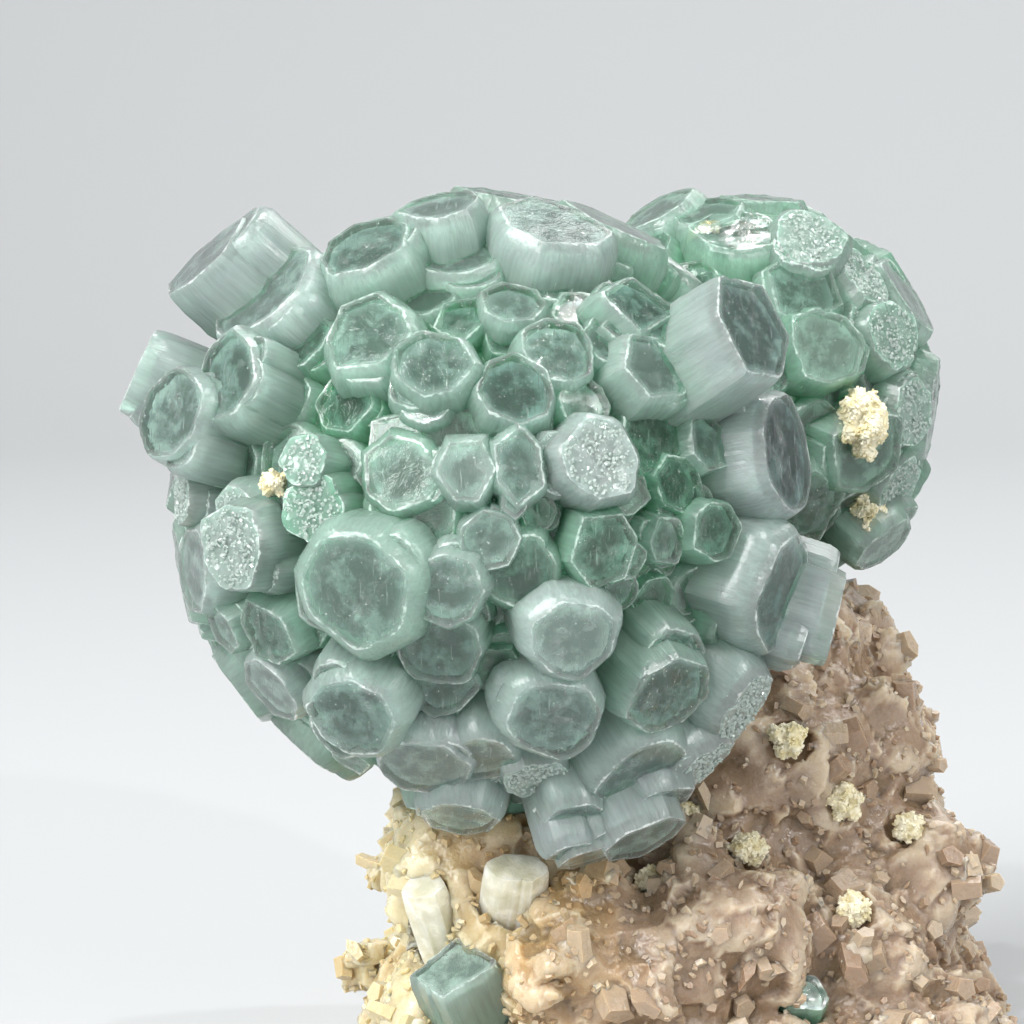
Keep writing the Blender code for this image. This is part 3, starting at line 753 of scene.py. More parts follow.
    def beside(self) -> Iterator[Crystal]:
        """Yields the smaller prisms that grew parallel to this one, a step lower at its sides."""
        chance = random.Random(self.name + "_beside")
        for index in range(chance.choice(BESIDE_COUNTS)):
            bend = chance.uniform(0, math.tau)
            far = chance.uniform(*BESIDE_OUT) * self.width / 2
            drop = chance.uniform(*BESIDE_DROPS) * MM
            width = chance.uniform(*BESIDE_WIDTHS) * self.width
            cap = self.place @ Vector((far * math.cos(bend), far * math.sin(bend) * self.flat, -drop))
            look = self.look._replace(milk=min(1.0, self.look.milk + 0.15))
            yield Crystal(
                f"{self.name}_beside_{index}", cap, self.axis, width, self.length - drop,
                self.turn + chance.uniform(-0.1, 0.1), self.sides, self.flat, look,
                flare=chance.uniform(0.1, 0.25), segments=24, ring_step=1.1 * MM, shoulder=0.8 * MM,
                cap_rings=(0.4, 0.75),
            )

    def placed(self, points: np.ndarray) -> np.ndarray:
        """Moves points from the crystal's own frame to the specimen's."""
        place = np.array(self.place)
        return points @ place[:3, :3].T + place[:3, 3]

    def faces(self, rows: int) -> list[tuple[int, ...]]:
        """Lists the faces between the rings, from the middle of the cap to the root.

        Args:
            rows: how many rings there are.

        Returns:
            Each face's vertex numbers, turning outwards.
        """
        count = self.segments
        middle, root = rows * count, rows * count + 1
        last = (rows - 1) * count
        found: list[tuple[int, ...]] = []
        for here in range(count):
            beyond = (here + 1) % count
            found.append((middle, here, beyond))
            found.append((root, last + beyond, last + here))
            for row in range(rows - 1):
                low, high = row * count, (row + 1) * count
                found.append((low + here, high + here, high + beyond, low + beyond))
        return found

    def local(self, points: np.ndarray) -> np.ndarray:
        """Gives points in the crystal's own frame."""
        place = np.array(self.place.inverted())
        return points @ place[:3, :3].T + place[:3, 3]

    def outline_at(self, angles: np.ndarray) -> np.ndarray:
        """Gives the outline's radius at any angles."""
        known = np.linspace(0, math.tau, self.segments + 1)
        return np.interp(angles % math.tau, known, np.append(self.profile, self.profile[0]))


@dataclass
class ApophylliteBall:
    """A ball of crystals grown from one middle, as one closed skin."""

    node: str
    label: str
    centre: Vector
    core: float
    reach: float
    rows: tuple[Row, ...]
    sunk: bool
    cut_point: Vector
    cut_direction: Vector
    small_count: int = 520
    small_widths: tuple[float, float] = (2.4 * MM, 4.2 * MM)
    small_depths: tuple[float, float] = (1.2 * MM, 2.4 * MM)
    small_seed: int = 21
    within: float = 0.3 * MM
    below: float = 0.9 * MM
    sparkle: Scatter = Scatter(
        16000000, (0.12 * MM, 0.12 * MM, 0.08 * MM), (0.32 * MM, 0.32 * MM, 0.2 * MM), 0.8, 0.6, 13, -1.0
    )
    crystals: list[Crystal] = field(default_factory=list)

    def build(self, material: bpy.types.Material, cloudy: bpy.types.Material) -> list[bpy.types.Object]:
        """Builds the ball's clear skin, in place of its solid, and its cloudy middle.

        Args:
            material: the clear crystal's finish.
            cloudy: the middle's finish.

        Returns:
            The finished pieces.
        """
        self.crystals = [self.listed(row) for row in self.rows]
        self.crystals += list(self.fill())
        self.crystals += [small for crystal in self.crystals for small in crystal.beside()]
        self.crystals += list(self.between())
        skin = self.joined(self.label, self.crystals, self.core, 0.0)
        self.dress(skin, self.crystals, material)
        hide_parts(self.node)
        inner = [crystal.cloudy(self.within, self.below) for crystal in self.crystals]
        middle = self.joined(self.label + "_middle", inner, self.core - self.within, self.within)
        self.dress(middle, inner, cloudy)
        return [skin, middle]

    def druse(self, material: bpy.types.Material) -> bpy.types.Object:
        """Grows small crystals on the sparkling caps.

        Args:
            material: their finish.

        Returns:
            The piece.
        """
        bm = bmesh.new()
        theta = np.linspace(0, math.tau, 24, endpoint=False)
        for crystal in self.crystals:
            if crystal.look.style is not SPARKLING:
                continue
            radius = 0.93 * crystal.outline_at(theta)
            slope_x, slope_y = crystal.slopes
            x, y = radius * np.cos(theta), radius * np.sin(theta)
            ring = crystal.placed(np.stack([x, y, slope_x * x + slope_y * y], axis=1))
            bm.faces.new([bm.verts.new(point) for point in ring.tolist()])
        mesh = bpy.data.meshes.new(self.label + "_caps")
        bm.to_mesh(mesh)
        bm.free()
        piece = self.sparkle.over(mesh, self.label + "_druse", material)
        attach(piece, BODY)
        return piece

    def dress(self, piece: bpy.types.Object, crystals: list[Crystal], material: bpy.types.Material) -> None:
        """Gives a piece its finish and puts it on the body.

        Args:
            piece: the piece.
            crystals: what it is joined from.
            material: its finish.
        """
        self.describe(piece.data, crystals)
        piece.data.materials.clear()
        piece.data.materials.append(material)
        piece.data.shade_smooth()
        piece.data.set_sharp_from_angle(angle=SHARP_ANGLE)
        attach(piece, BODY)

    def listed(self, row: Row) -> Crystal:
        """Places one listed crystal where the eye sees it."""
        cap = seen_at(self.centre, row.right * MM, row.up * MM, row.reach * MM)
        axis = (cap - self.centre).normalized()
        axis = (axis - math.tan(math.radians(row.lean)) * AWAY).normalized()
        length = row.reach * MM - ROOT_SHARE * self.core
        flare = random.Random(row.name + "_flare").uniform(*FLARES)
        if row.reach * MM > self.reach + TALL_BY:
            flare = TALL_FLARE
        return Crystal(
            row.name, cap, axis, row.width * MM, length, math.radians(row.turn), row.sides, row.flat,
            row.look, flare,
        )

    def fill(self) -> Iterator[Crystal]:
        """Yields crystals over the rest of the ball, wherever the listed ones leave room."""
        chance = random.Random(FILL_SEED)
        taken = [((crystal.cap - self.centre).normalized(), crystal.width) for crystal in self.crystals]
        for index, direction in enumerate(even_directions(FILL_TRIES)):
            between = self.sunk and direction.dot(-AWAY) > SUNK_FACING
            width = chance.uniform(*(SUNK_WIDTHS if between else FILL_WIDTHS))
            tip = self.reach - chance.uniform(*(SUNK_DEPTHS if between else FILL_DEPTHS))
            turn = chance.uniform(0, math.tau)
            sides = chance.choice((5, 6))
            room = [
                direction.angle(other) * tip - FILL_CLOSENESS * (width + size) / 2 for other, size in taken
            ]
            if min(room) < 0:
                continue
            taken.append((direction, width))
            name = f"{self.node}_fill_{index}"
            dice = random.Random(name + "_look")
            green = dice.uniform(*(SUNK_GREENS if between else FILL_GREENS))
            look = Look(green, dice.uniform(*FILL_MILKS), dice.choice((SMOOTH, MOSAIC)))
            cap = self.centre + tip * direction
            yield Crystal(name, cap, direction, width, tip - ROOT_SHARE * self.core, turn, sides, 1, look)

    def between(self) -> Iterator[Crystal]:
        """Yields the short crystals that close the gaps, always lower than the caps that they touch."""
        chance = random.Random(self.small_seed)
        standing = [
            (out.normalized(), crystal.width / 2, out.length)
            for crystal in self.crystals
            for out in [crystal.cap - self.centre]
        ]
        for index, even in enumerate(even_directions(self.small_count)):
            stray = Vector((chance.uniform(-1, 1), chance.uniform(-1, 1), chance.uniform(-1, 1)))
            direction = (even + 0.03 * stray).normalized()
            width = chance.uniform(*self.small_widths)
            tip = self.reach - chance.uniform(*self.small_depths)
            hidden = False
            for other, half, reach in standing:
                apart = direction.angle(other) * tip
                if apart < half + 0.35 * width:
                    tip = min(tip, reach - 0.8 * MM)
                hidden = hidden or (apart + width / 2 < half and tip < reach)
            if hidden or tip < self.core:
                continue
            leaning = Vector((chance.uniform(-1, 1), chance.uniform(-1, 1), 0))
            axis = (direction + 0.06 * leaning).normalized()
            look = Look(chance.uniform(*SMALL_GREENS), chance.uniform(*SMALL_MILKS))
            yield Crystal(
                f"{self.node}_between_{index}", self.centre + tip * direction, axis, width,
                tip - 0.92 * self.core, chance.uniform(0, math.tau), chance.choice((5, 6)), 1, look,
                flare=chance.uniform(0.1, 0.3), segments=18, ring_step=1.3 * MM, shoulder=0.6 * MM,
                cap_rings=(0.6,), tilt=0.2,
            )

    def joined(self, label: str, crystals: list[Crystal], core: float, back: float) -> bpy.types.Object:
        """Joins a core and crystals into one closed skin, cut where the other ball begins.

        Args:
            label: the piece's name.
            crystals: what grows on the core.
            core: the core's radius.
            back: how far the cut lies inside the ball's own.

        Returns:
            The ball, whose faces know their crystal by number.
        """
        bm = bmesh.new()
        bmesh.ops.create_icosphere(bm, subdivisions=4, radius=core)
        bmesh.ops.translate(bm, vec=self.centre, verts=bm.verts)
        mesh = bpy.data.meshes.new(label)
        bm.to_mesh(mesh)
        bm.free()
        self.number(mesh, -1)
        ball = new_object(label, mesh)
        grown = bpy.data.collections.new(label + "_grown")
        bpy.context.scene.collection.children.link(grown)
        for index, crystal in enumerate(crystals):
            points, faces = crystal.shell()
            shell = bpy.data.meshes.new(crystal.name)
            shell.from_pydata(points.tolist(), [], faces)
            self.number(shell, index)
            grown.objects.link(bpy.data.objects.new(crystal.name, shell))
        union = ball.modifiers.new("Union", "BOOLEAN")
        union.operation = "UNION"
        union.operand_type = "COLLECTION"
        union.collection = grown
        union.solver = "MANIFOLD"
        far = self.half_space(back)
        cut = ball.modifiers.new("Suture", "BOOLEAN")
        cut.operation = "DIFFERENCE"
        cut.object = far
        cut.solver = "MANIFOLD"
        settle(ball)
        for item in [*grown.objects, far]:
            bpy.data.objects.remove(item)
        bpy.data.collections.remove(grown)
        return ball

    def half_space(self, back: float) -> bpy.types.Object:
        """Makes a large box beyond the plane where the balls meet, moved back by that much."""
        size = 80 * MM
        bm = bmesh.new()
        bmesh.ops.create_cube(bm, size=2 * size)
        place = frame_along(self.cut_direction, self.cut_point + (size - back) * self.cut_direction, 0)
        bmesh.ops.transform(bm, matrix=place, verts=bm.verts)
        mesh = bpy.data.meshes.new("far_side")
        bm.to_mesh(mesh)
        bm.free()
        self.number(mesh, -1)
        return new_object("far_side", mesh)

    @staticmethod
    def number(mesh: bpy.types.Mesh, index: int) -> None:
        """Writes a crystal's number on every face of its mesh."""
        attribute = mesh.attributes.new("crystal", "FLOAT", "FACE")
        attribute.data.foreach_set("value", [float(index)] * len(mesh.polygons))

    def describe(self, mesh: bpy.types.Mesh, crystals: list[Crystal]) -> None:
        """Stores what the finish needs to know at each corner: cap or side, depth, edge and grain.

        Args:
            mesh: the joined skin.
            crystals: what it is joined from.
        """
        polygons = len(mesh.polygons)
        owner = np.empty(polygons, np.float32)
        mesh.attributes["crystal"].data.foreach_get("value", owner)
        owner = np.rint(owner).astype(int)
        totals = np.empty(polygons, np.int32)
        mesh.polygons.foreach_get("loop_total", totals)
        corner_vertex = np.empty(len(mesh.loops), np.int32)
        mesh.loops.foreach_get("vertex_index", corner_vertex)
        points = points_of(mesh)[corner_vertex]
        corner_owner = np.repeat(owner, totals)
        corner_face = np.repeat(np.arange(polygons), totals)
        count = len(points)
        cap = np.zeros(count)
        depth = (self.reach - np.linalg.norm(points - np.array(self.centre), axis=1)) / MM
        edge = np.full(count, 2.0)
        grain = points / MM
        looks = {"green": np.full(count, 0.9), "milk": np.full(count, 0.1), "style": np.zeros(count)}
        for index, crystal in enumerate(crystals):
            mine = corner_owner == index
            if not mine.any():
                continue
            own = crystal.local(points[mine])
            outline = crystal.outline_at(np.arctan2(own[:, 1], own[:, 0]))
            far = np.hypot(own[:, 0], own[:, 1])
            sunk = self.reach - (crystal.cap - self.centre).length
            depth[mine] = (-own[:, 2] + SUNK_SHARE * max(0.0, sunk)) / MM
            slope_x, slope_y = crystal.slopes
            above = own[:, 2] - slope_x * own[:, 0] - slope_y * own[:, 1]
            edge[mine] = np.hypot(outline - far, above) / MM
            slack = CAP_SLACK * crystal.relief * (1 + STYLE_GAIN * crystal.look.style.value)
            cap[mine] = (np.abs(above) < slack) & (far < CAP_REACH * outline)
            grain[mine] = own / MM + GRAIN_APART * index
            looks["green"][mine] = crystal.look.green
            looks["milk"][mine] = crystal.look.milk
            looks["style"][mine] = crystal.look.style.value
        mesh.attributes.remove(mesh.attributes["crystal"])
        lowest = np.minimum.reduceat(cap, np.concatenate([[0], np.cumsum(totals)[:-1]]))
        store(mesh, "cap", "CORNER", lowest[corner_face])
        store(mesh, "depth", "CORNER", depth)
        store(mesh, "edge", "CORNER", edge)
        store(mesh, "grain", "CORNER", grain)
        for name, values in looks.items():
            store(mesh, name, "CORNER", values)


@dataclass(frozen=True)
class CloudyFinish:
    """The cloudy middle of apophyllite, seen through its clear skin.

    Milky inclusions veil it under the caps and along the prism faces, and the green deepens towards
    the root and in the gaps.
    """

    name: str = "Cloudy green apophyllite, the middle of the crystals"
    milky: str = "#b2c1be"
    lilac: str = "#7c8c90"
    mint: str = "#b3dfc8"
    pale_green: str = "#77bf99"
    pale_root: str = "#58b287"
    root: str = "#0f9a5e"
    # Under a cap: the crystal's own grey and green, darkened by painted shade of the depth behind the cap.
    shaded_cap_grey: str = "#0f3b34"
    shaded_cap_green: str = "#044a2d"
    veil_grey: str = "#8ba6a6"
    veil_green: str = "#7fb39f"
    cap_milk: str = "#d9e1de"

    def make(self) -> bpy.types.Material:
        """Builds the material.

        Returns:
            The material.
        """
        material, tree, output = bare_material(self.name)
        add = partial(add_node, tree)
        stored = {
            name: add("ShaderNodeAttribute", attribute_name=name).outputs["Fac"]
            for name in ("cap", "depth", "edge", "green", "milk")
        }
        grain = add("ShaderNodeAttribute", attribute_name="grain").outputs["Vector"]
        place = add("ShaderNodeTexCoord").outputs["Object"]
        # The streaks are about 0.3 mm apart and the veils 1.6 mm across.
        lines = add("ShaderNodeMapping", {"Vector": grain, "Scale": (3.4, 3.4, 0.3)}).outputs[0]
        streaks = add("ShaderNodeTexNoise", {"Vector": lines, "Scale": 1.0, "Detail": 3.0}).outputs["Fac"]
        veils = add(
            "ShaderNodeTexNoise",
            {"Vector": place, "Scale": 1 / (1.6 * MM), "Detail": 6.0, "Roughness": 0.66},
        ).outputs["Fac"]
        colour = add(
            "ShaderNodeMix",
            {
                0: stored["cap"],
                MIX_A: self.side(add, stored, streaks, veils),
                MIX_B: self.end(add, stored, veils),
            },
            data_type="RGBA",
        ).outputs[MIX_OUT]
        shader = add("ShaderNodeBsdfPrincipled", {"Base Color": colour, "Roughness": 0.6})
        tree.links.new(shader.outputs["BSDF"], output.inputs["Surface"])
        return material

    def side(
        self,
        add: AddNode,
        stored: dict[str, Socket],
        streaks: Socket,
        veils: Socket,
    ) -> Socket:
        """Grades a prism face from milky white at the cap to green at the root.

        Args:
            add: adds a node to the tree.
            stored: what the mesh stores.
            streaks: the fine lines.
            veils: the cloudy patches.

        Returns:
            Its colour.
        """
        patches = add("ShaderNodeMapRange", {"Value": veils, "From Min": 0.38, "From Max": 0.62}).outputs[0]
        grey = add(
            "ShaderNodeMix", {0: patches, MIX_A: self.lilac, MIX_B: self.milky}, data_type="RGBA"
        ).outputs[MIX_OUT]
        minty = add(
            "ShaderNodeMix", {0: patches, MIX_A: self.pale_green, MIX_B: self.mint}, data_type="RGBA"
        ).outputs[MIX_OUT]
        outer = add(
            "ShaderNodeMix", {0: stored["green"], MIX_A: grey, MIX_B: minty}, data_type="RGBA"
        ).outputs[MIX_OUT]
        inner = add(
            "ShaderNodeMix", {0: stored["green"], MIX_A: self.pale_root, MIX_B: self.root}, data_type="RGBA"
        ).outputs[MIX_OUT]
        low = add(
            "ShaderNodeMapRange",
            {"Value": stored["depth"], "From Min": 0.4, "From Max": 3.4},
            interpolation_type="SMOOTHSTEP",
        ).outputs[0]
        deep = add(
            "ShaderNodeMapRange", {"Value": stored["green"], "To Min": 0.55, "To Max": 1.0}
        ).outputs[0]
        share = add("ShaderNodeMath", {0: low, 1: deep}, operation="MULTIPLY").outputs[0]
        uneven = add("ShaderNodeMapRange", {"Value": streaks, "To Min": -0.25, "To Max": 0.25}).outputs[0]
        share = add("ShaderNodeMath", {0: share, 1: uneven}, operation="ADD", use_clamp=True).outputs[0]
        return add(
            "ShaderNodeMix", {0: share, MIX_A: outer, MIX_B: inner}, data_type="RGBA"
        ).outputs[MIX_OUT]

    def end(
        self,
        add: AddNode,
        stored: dict[str, Socket],
        veils: Socket,
    ) -> Socket:
        """Clouds what lies under a cap: a window in the middle, its grey to green darkened by painted
        shade of the depth, and paler veils towards its edge.

        Args:
            add: adds a node to the tree.
            stored: what the mesh stores.
            veils: the cloudy patches.

        Returns:
            Its colour.
        """
        # Painted shade: the window's own grey to green is made dark to stand for the shade deep in a clear
        # crystal.
        dark = add(
            "ShaderNodeMix",
            {0: stored["green"], MIX_A: self.shaded_cap_grey, MIX_B: self.shaded_cap_green},
            data_type="RGBA",
        ).outputs[MIX_OUT]
        veil = add(
            "ShaderNodeMix",
            {0: stored["green"], MIX_A: self.veil_grey, MIX_B: self.veil_green},
            data_type="RGBA",
        ).outputs[MIX_OUT]
        light = add(
            "ShaderNodeMix", {0: stored["milk"], MIX_A: veil, MIX_B: self.cap_milk}, data_type="RGBA"
        ).outputs[MIX_OUT]
        cloudy = add(
            "ShaderNodeMapRange",
            {"Value": veils, "From Min": 0.46, "From Max": 0.64, "To Max": 0.62},
            interpolation_type="SMOOTHSTEP",
        ).outputs[0]
        border = add(
            "ShaderNodeMapRange",
            {"Value": stored["edge"], "From Min": 0.0, "From Max": 0.7, "To Min": 0.5, "To Max": 0.0},
        ).outputs[0]
        cloudy = add("ShaderNodeMath", {0: cloudy, 1: border}, operation="ADD").outputs[0]
        cloudy = add(
            "ShaderNodeMath",
            {0: stored["milk"], 1: 0.32, 2: cloudy},
            operation="MULTIPLY_ADD",
            use_clamp=True,
        ).outputs[0]
        return add(
            "ShaderNodeMix", {0: cloudy, MIX_A: dark, MIX_B: light}, data_type="RGBA"
        ).outputs[MIX_OUT]


@dataclass(frozen=True)
class ClearFinish:
    """Clear apophyllite over a cloudy middle.

    Its caps are glassy windows with fine scratches and a painted highlight, a thin bright line
    along their edges; its prism faces are frosted and striated, and light that goes through it
    turns a little green.
    """

    name: str = "Clear apophyllite, glassy caps and frosted prism faces"
    tint: str = "#edf4f1"
    green_tint: str = "#bfe3cf"
    frost: str = "#b3bfbc"
    green_frost: str = "#6fb893"
    # The white of the painted highlight along the caps' edges and of the painted glints on them.
    painted_glint: str = "#fbfefc"
    ior: float = 1.535
    absorbed: tuple[float, float, float, float] = (0.25, 0.84, 0.60, 1.0)
    density: float = 130.0

    def make(self) -> bpy.types.Material:
        """Builds the material.

        Returns:
            The material.
        """
        material, tree, output = bare_material(self.name)
        add = partial(add_node, tree)
        stored = {
            name: add("ShaderNodeAttribute", attribute_name=name).outputs["Fac"]
            for name in ("cap", "edge", "green", "milk", "style")
        }
        grain = add("ShaderNodeAttribute", attribute_name="grain").outputs["Vector"]
        place = add("ShaderNodeTexCoord").outputs["Object"]
        # The striations are about 0.2 mm apart, the veils 1.8 mm across and the flecks 0.3 mm.
        lines = add("ShaderNodeMapping", {"Vector": grain, "Scale": (4.5, 4.5, 0.35)}).outputs[0]
        striae = add("ShaderNodeTexNoise", {"Vector": lines, "Scale": 1.0, "Detail": 3.0}).outputs["Fac"]
        veils = add(
            "ShaderNodeTexNoise",
            {"Vector": place, "Scale": 1 / (1.8 * MM), "Detail": 6.0, "Roughness": 0.66},
        ).outputs["Fac"]
        flecks = add(
            "ShaderNodeTexNoise",
            {"Vector": place, "Scale": 1 / (0.3 * MM), "Detail": 3.0, "Roughness": 0.6},
        ).outputs["Fac"]
        # Painted highlight: a bright line along each cap's edge and white glints on the caps.
        painted_glint = self.painted_glint_share(add, stored, place, veils, flecks)
        hazy = self.haze(add, stored, place, veils)
        frost = add("ShaderNodeMapRange", {"Value": striae, "To Min": 0.2, "To Max": 0.5}).outputs[0]
        share = add("ShaderNodeMix", {0: stored["cap"], 2: frost, 3: hazy}).outputs[0]
        glass = add(
            "ShaderNodeMix",
            {0: stored["green"], MIX_A: self.tint, MIX_B: self.green_tint},
            data_type="RGBA",
        ).outputs[MIX_OUT]
        ice = add(
            "ShaderNodeMix",
            {0: stored["green"], MIX_A: self.frost, MIX_B: self.green_frost},
            data_type="RGBA",
        ).outputs[MIX_OUT]
        colour = add(
            "ShaderNodeMix", {0: share, MIX_A: glass, MIX_B: ice}, data_type="RGBA"
        ).outputs[MIX_OUT]
        # The painted highlight turns the colour white, and the crystal is less clear there.
        colour = add(
            "ShaderNodeMix", {0: painted_glint, MIX_A: colour, MIX_B: self.painted_glint}, data_type="RGBA"
        ).outputs[MIX_OUT]
        clear = add("ShaderNodeMapRange", {"Value": share, "To Min": 0.96, "To Max": 0.35}).outputs[0]
        clear = add("ShaderNodeMath", {0: clear, 1: painted_glint}, operation="SUBTRACT", use_clamp=True).outputs[0]
        matt = add("ShaderNodeMapRange", {"Value": striae, "To Min": 0.12, "To Max": 0.32}).outputs[0]
        glossy = add("ShaderNodeMapRange", {"Value": flecks, "To Min": 0.0, "To Max": 0.16}).outputs[0]
        shader = add(
            "ShaderNodeBsdfPrincipled",
            {
                "IOR": self.ior,
                "Base Color": colour,
                "Roughness": add("ShaderNodeMix", {0: stored["cap"], 2: matt, 3: glossy}).outputs[0],
                "Transmission Weight": clear,
                "Normal": self.relief(add, stored, striae, flecks, place),
                "Subsurface Weight": 0.8,
                "Subsurface Radius": (0.8, 1.0, 0.9),
                "Subsurface Scale": 1.2 * MM,
            },
        )
        volume = add("ShaderNodeVolumeAbsorption", {"Color": self.absorbed, "Density": self.density})
        tree.links.new(shader.outputs["BSDF"], output.inputs["Surface"])
        tree.links.new(volume.outputs["Volume"], output.inputs["Volume"])
        return material

    def haze(
        self,
        add: AddNode,
        stored: dict[str, Socket],
        place: Socket,
        veils: Socket,
    ) -> Socket:
        """Clouds a cap's surface: patches, a paler border, frost on a rough cap and crossing scratches.

        Args:
            add: adds a node to the tree.
            stored: what the mesh stores.
            place: the place on the specimen.
            veils: the cloudy patches.

        Returns:
            0 on clear glass to nearly 1 where it is most clouded.
        """
        hazy = add(
            "ShaderNodeMapRange", {"Value": veils, "From Min": 0.54, "From Max": 0.74, "To Max": 0.3}
        ).outputs[0]
        hazy = add(
            "ShaderNodeMath", {0: stored["milk"], 1: 0.06, 2: hazy}, operation="MULTIPLY_ADD"
        ).outputs[0]
        border = add(
            "ShaderNodeMapRange", {"Value": stored["edge"], "From Max": 0.45, "To Min": 0.28, "To Max": 0.0}
        ).outputs[0]
        hazy = add("ShaderNodeMath", {0: hazy, 1: border}, operation="ADD").outputs[0]
        frosted = add(
            "ShaderNodeMapRange", {"Value": stored["style"], "From Min": 0.5, "To Max": 0.65}
        ).outputs[0]
        hazy = add("ShaderNodeMath", {0: hazy, 1: frosted}, operation="ADD").outputs[0]
        # The scratches are 0.08 mm wide and 1.4 mm long, in two directions.
        stretch = (1 / (0.08 * MM), 1 / (1.4 * MM), 1 / (1.4 * MM))
        for turn in ((0.3, 0.5, 0.7), (1.1, 0.2, -0.9)):
            spun = add(
                "ShaderNodeMapping", {"Vector": place, "Rotation": turn, "Scale": stretch}
            ).outputs[0]
            hair = add("ShaderNodeTexNoise", {"Vector": spun, "Scale": 1.0, "Detail": 1.0}).outputs["Fac"]
            hair = add(
                "ShaderNodeMapRange", {"Value": hair, "From Min": 0.67, "From Max": 0.76, "To Max": 0.4}
            ).outputs[0]
            hazy = add("ShaderNodeMath", {0: hazy, 1: hair}, operation="MAXIMUM").outputs[0]
        return hazy

    def painted_glint_share(
        self,
        add: AddNode,
        stored: dict[str, Socket],
        place: Socket,
        veils: Socket,
        flecks: Socket,
    ) -> Socket:
        """Paints a highlight along a cap's edge, a bright line broken and of uneven width, and painted
        glints on the caps as white dots.

        Args:
            add: adds a node to the tree.
            stored: what the mesh stores.
            place: the place on the specimen.
            veils: the cloudy patches, which break the line.
            flecks: the fine patches, which make it ragged.

        Returns:
            0 on open faces to nearly 1 on the line.
        """
        ragged = add("ShaderNodeMath", {0: flecks, 1: -0.35, 2: stored["edge"]}, operation="MULTIPLY_ADD")
        painted_glint = add(
            "ShaderNodeMapRange", {"Value": ragged.outputs[0], "From Min": -0.07, "From Max": -0.14}
        ).outputs[0]
        patchy = add(
            "ShaderNodeMapRange", {"Value": veils, "From Min": 0.42, "From Max": 0.6, "To Max": 0.42}
        ).outputs[0]
        painted_glint = add("ShaderNodeMath", {0: painted_glint, 1: patchy}, operation="MULTIPLY").outputs[0]
        # The painted glints are white dots 0.14 mm across, on caps only.
        glint_specks = add(
            "ShaderNodeTexNoise", {"Vector": place, "Scale": 1 / (0.14 * MM), "Detail": 1.0}
        ).outputs["Fac"]
        glint_specks = add(
            "ShaderNodeMapRange", {"Value": glint_specks, "From Min": 0.71, "From Max": 0.76, "To Max": 0.5}
        ).outputs[0]
        glint_specks = add("ShaderNodeMath", {0: glint_specks, 1: stored["cap"]}, operation="MULTIPLY").outputs[0]
        return add("ShaderNodeMath", {0: painted_glint, 1: glint_specks}, operation="MAXIMUM").outputs[0]

    def relief(
        self,
        add: AddNode,
        stored: dict[str, Socket],
        striae: Socket,
        flecks: Socket,
        place: Socket,
    ) -> Socket:
        """Raises the striations on the sides, and tilted facets on the caps, steeper on a rough one.

        Args:
            add: adds a node to the tree.
            stored: what the mesh stores.
            striae: the fine lines.
            flecks: the fine patches.
            place: the place on the specimen.

        Returns:
            The normal.
        """
        # The facets are 0.35 mm across, each tilted its own way.
        cells = add("ShaderNodeTexVoronoi", {"Vector": place, "Scale": 1 / (0.35 * MM)}).outputs
        away = add(
            "ShaderNodeVectorMath", {0: place, 1: cells["Position"]}, operation="SUBTRACT"
        ).outputs[0]
        lean = add(
            "ShaderNodeVectorMath", {0: cells["Color"], 1: (0.5, 0.5, 0.5)}, operation="SUBTRACT"
        ).outputs[0]
        facet = add("ShaderNodeVectorMath", {0: away, 1: lean}, operation="DOT_PRODUCT").outputs["Value"]
        steep = add(
            "ShaderNodeMapRange", {"Value": stored["style"], "To Min": 0.0, "To Max": 1 / (0.12 * MM)}
        ).outputs[0]
        facet = add("ShaderNodeMath", {0: facet, 1: steep}, operation="MULTIPLY").outputs[0]
        tiles = add("ShaderNodeMath", {0: flecks, 1: 0.3, 2: facet}, operation="MULTIPLY_ADD").outputs[0]
        # The lines are kept low: steeper ones turn away from the light and show as dark dashes.
        lines = add("ShaderNodeMath", {0: flecks, 1: 0.6, 2: striae}, operation="MULTIPLY_ADD").outputs[0]
        lines = add("ShaderNodeMath", {0: lines, 1: 0.44}, operation="MULTIPLY").outputs[0]
        height = add("ShaderNodeMix", {0: stored["cap"], 2: lines, 3: tiles}).outputs[0]
        return add("ShaderNodeBump", {"Height": height, "Strength": 0.8, "Distance": 0.12 * MM}).outputs[0]


@dataclass(frozen=True)
class DruseFinish:
    """Small clear crystals that sparkle on the rough caps."""

    name: str = "Druse of small clear apophyllite"
    tint: str = "#dce9e2"
    ior: float = 1.535

    def make(self) -> bpy.types.Material:
        """Builds the material.

        Returns:
            The material.
        """
        material, tree, output = bare_material(self.name)
        add = partial(add_node, tree)
        place = add("ShaderNodeTexCoord").outputs["Object"]
        # Glassy and duller patches 0.5 mm across.
        patch = add("ShaderNodeTexNoise", {"Vector": place, "Scale": 1 / (0.5 * MM)}).outputs["Fac"]
        rough = add("ShaderNodeMapRange", {"Value": patch, "To Min": 0.02, "To Max": 0.2}).outputs[0]
        shader = add(
            "ShaderNodeBsdfPrincipled",
            {"Base Color": self.tint, "IOR": self.ior, "Roughness": rough, "Transmission Weight": 0.55},
        )
        tree.links.new(shader.outputs["BSDF"], output.inputs["Surface"])
        return material


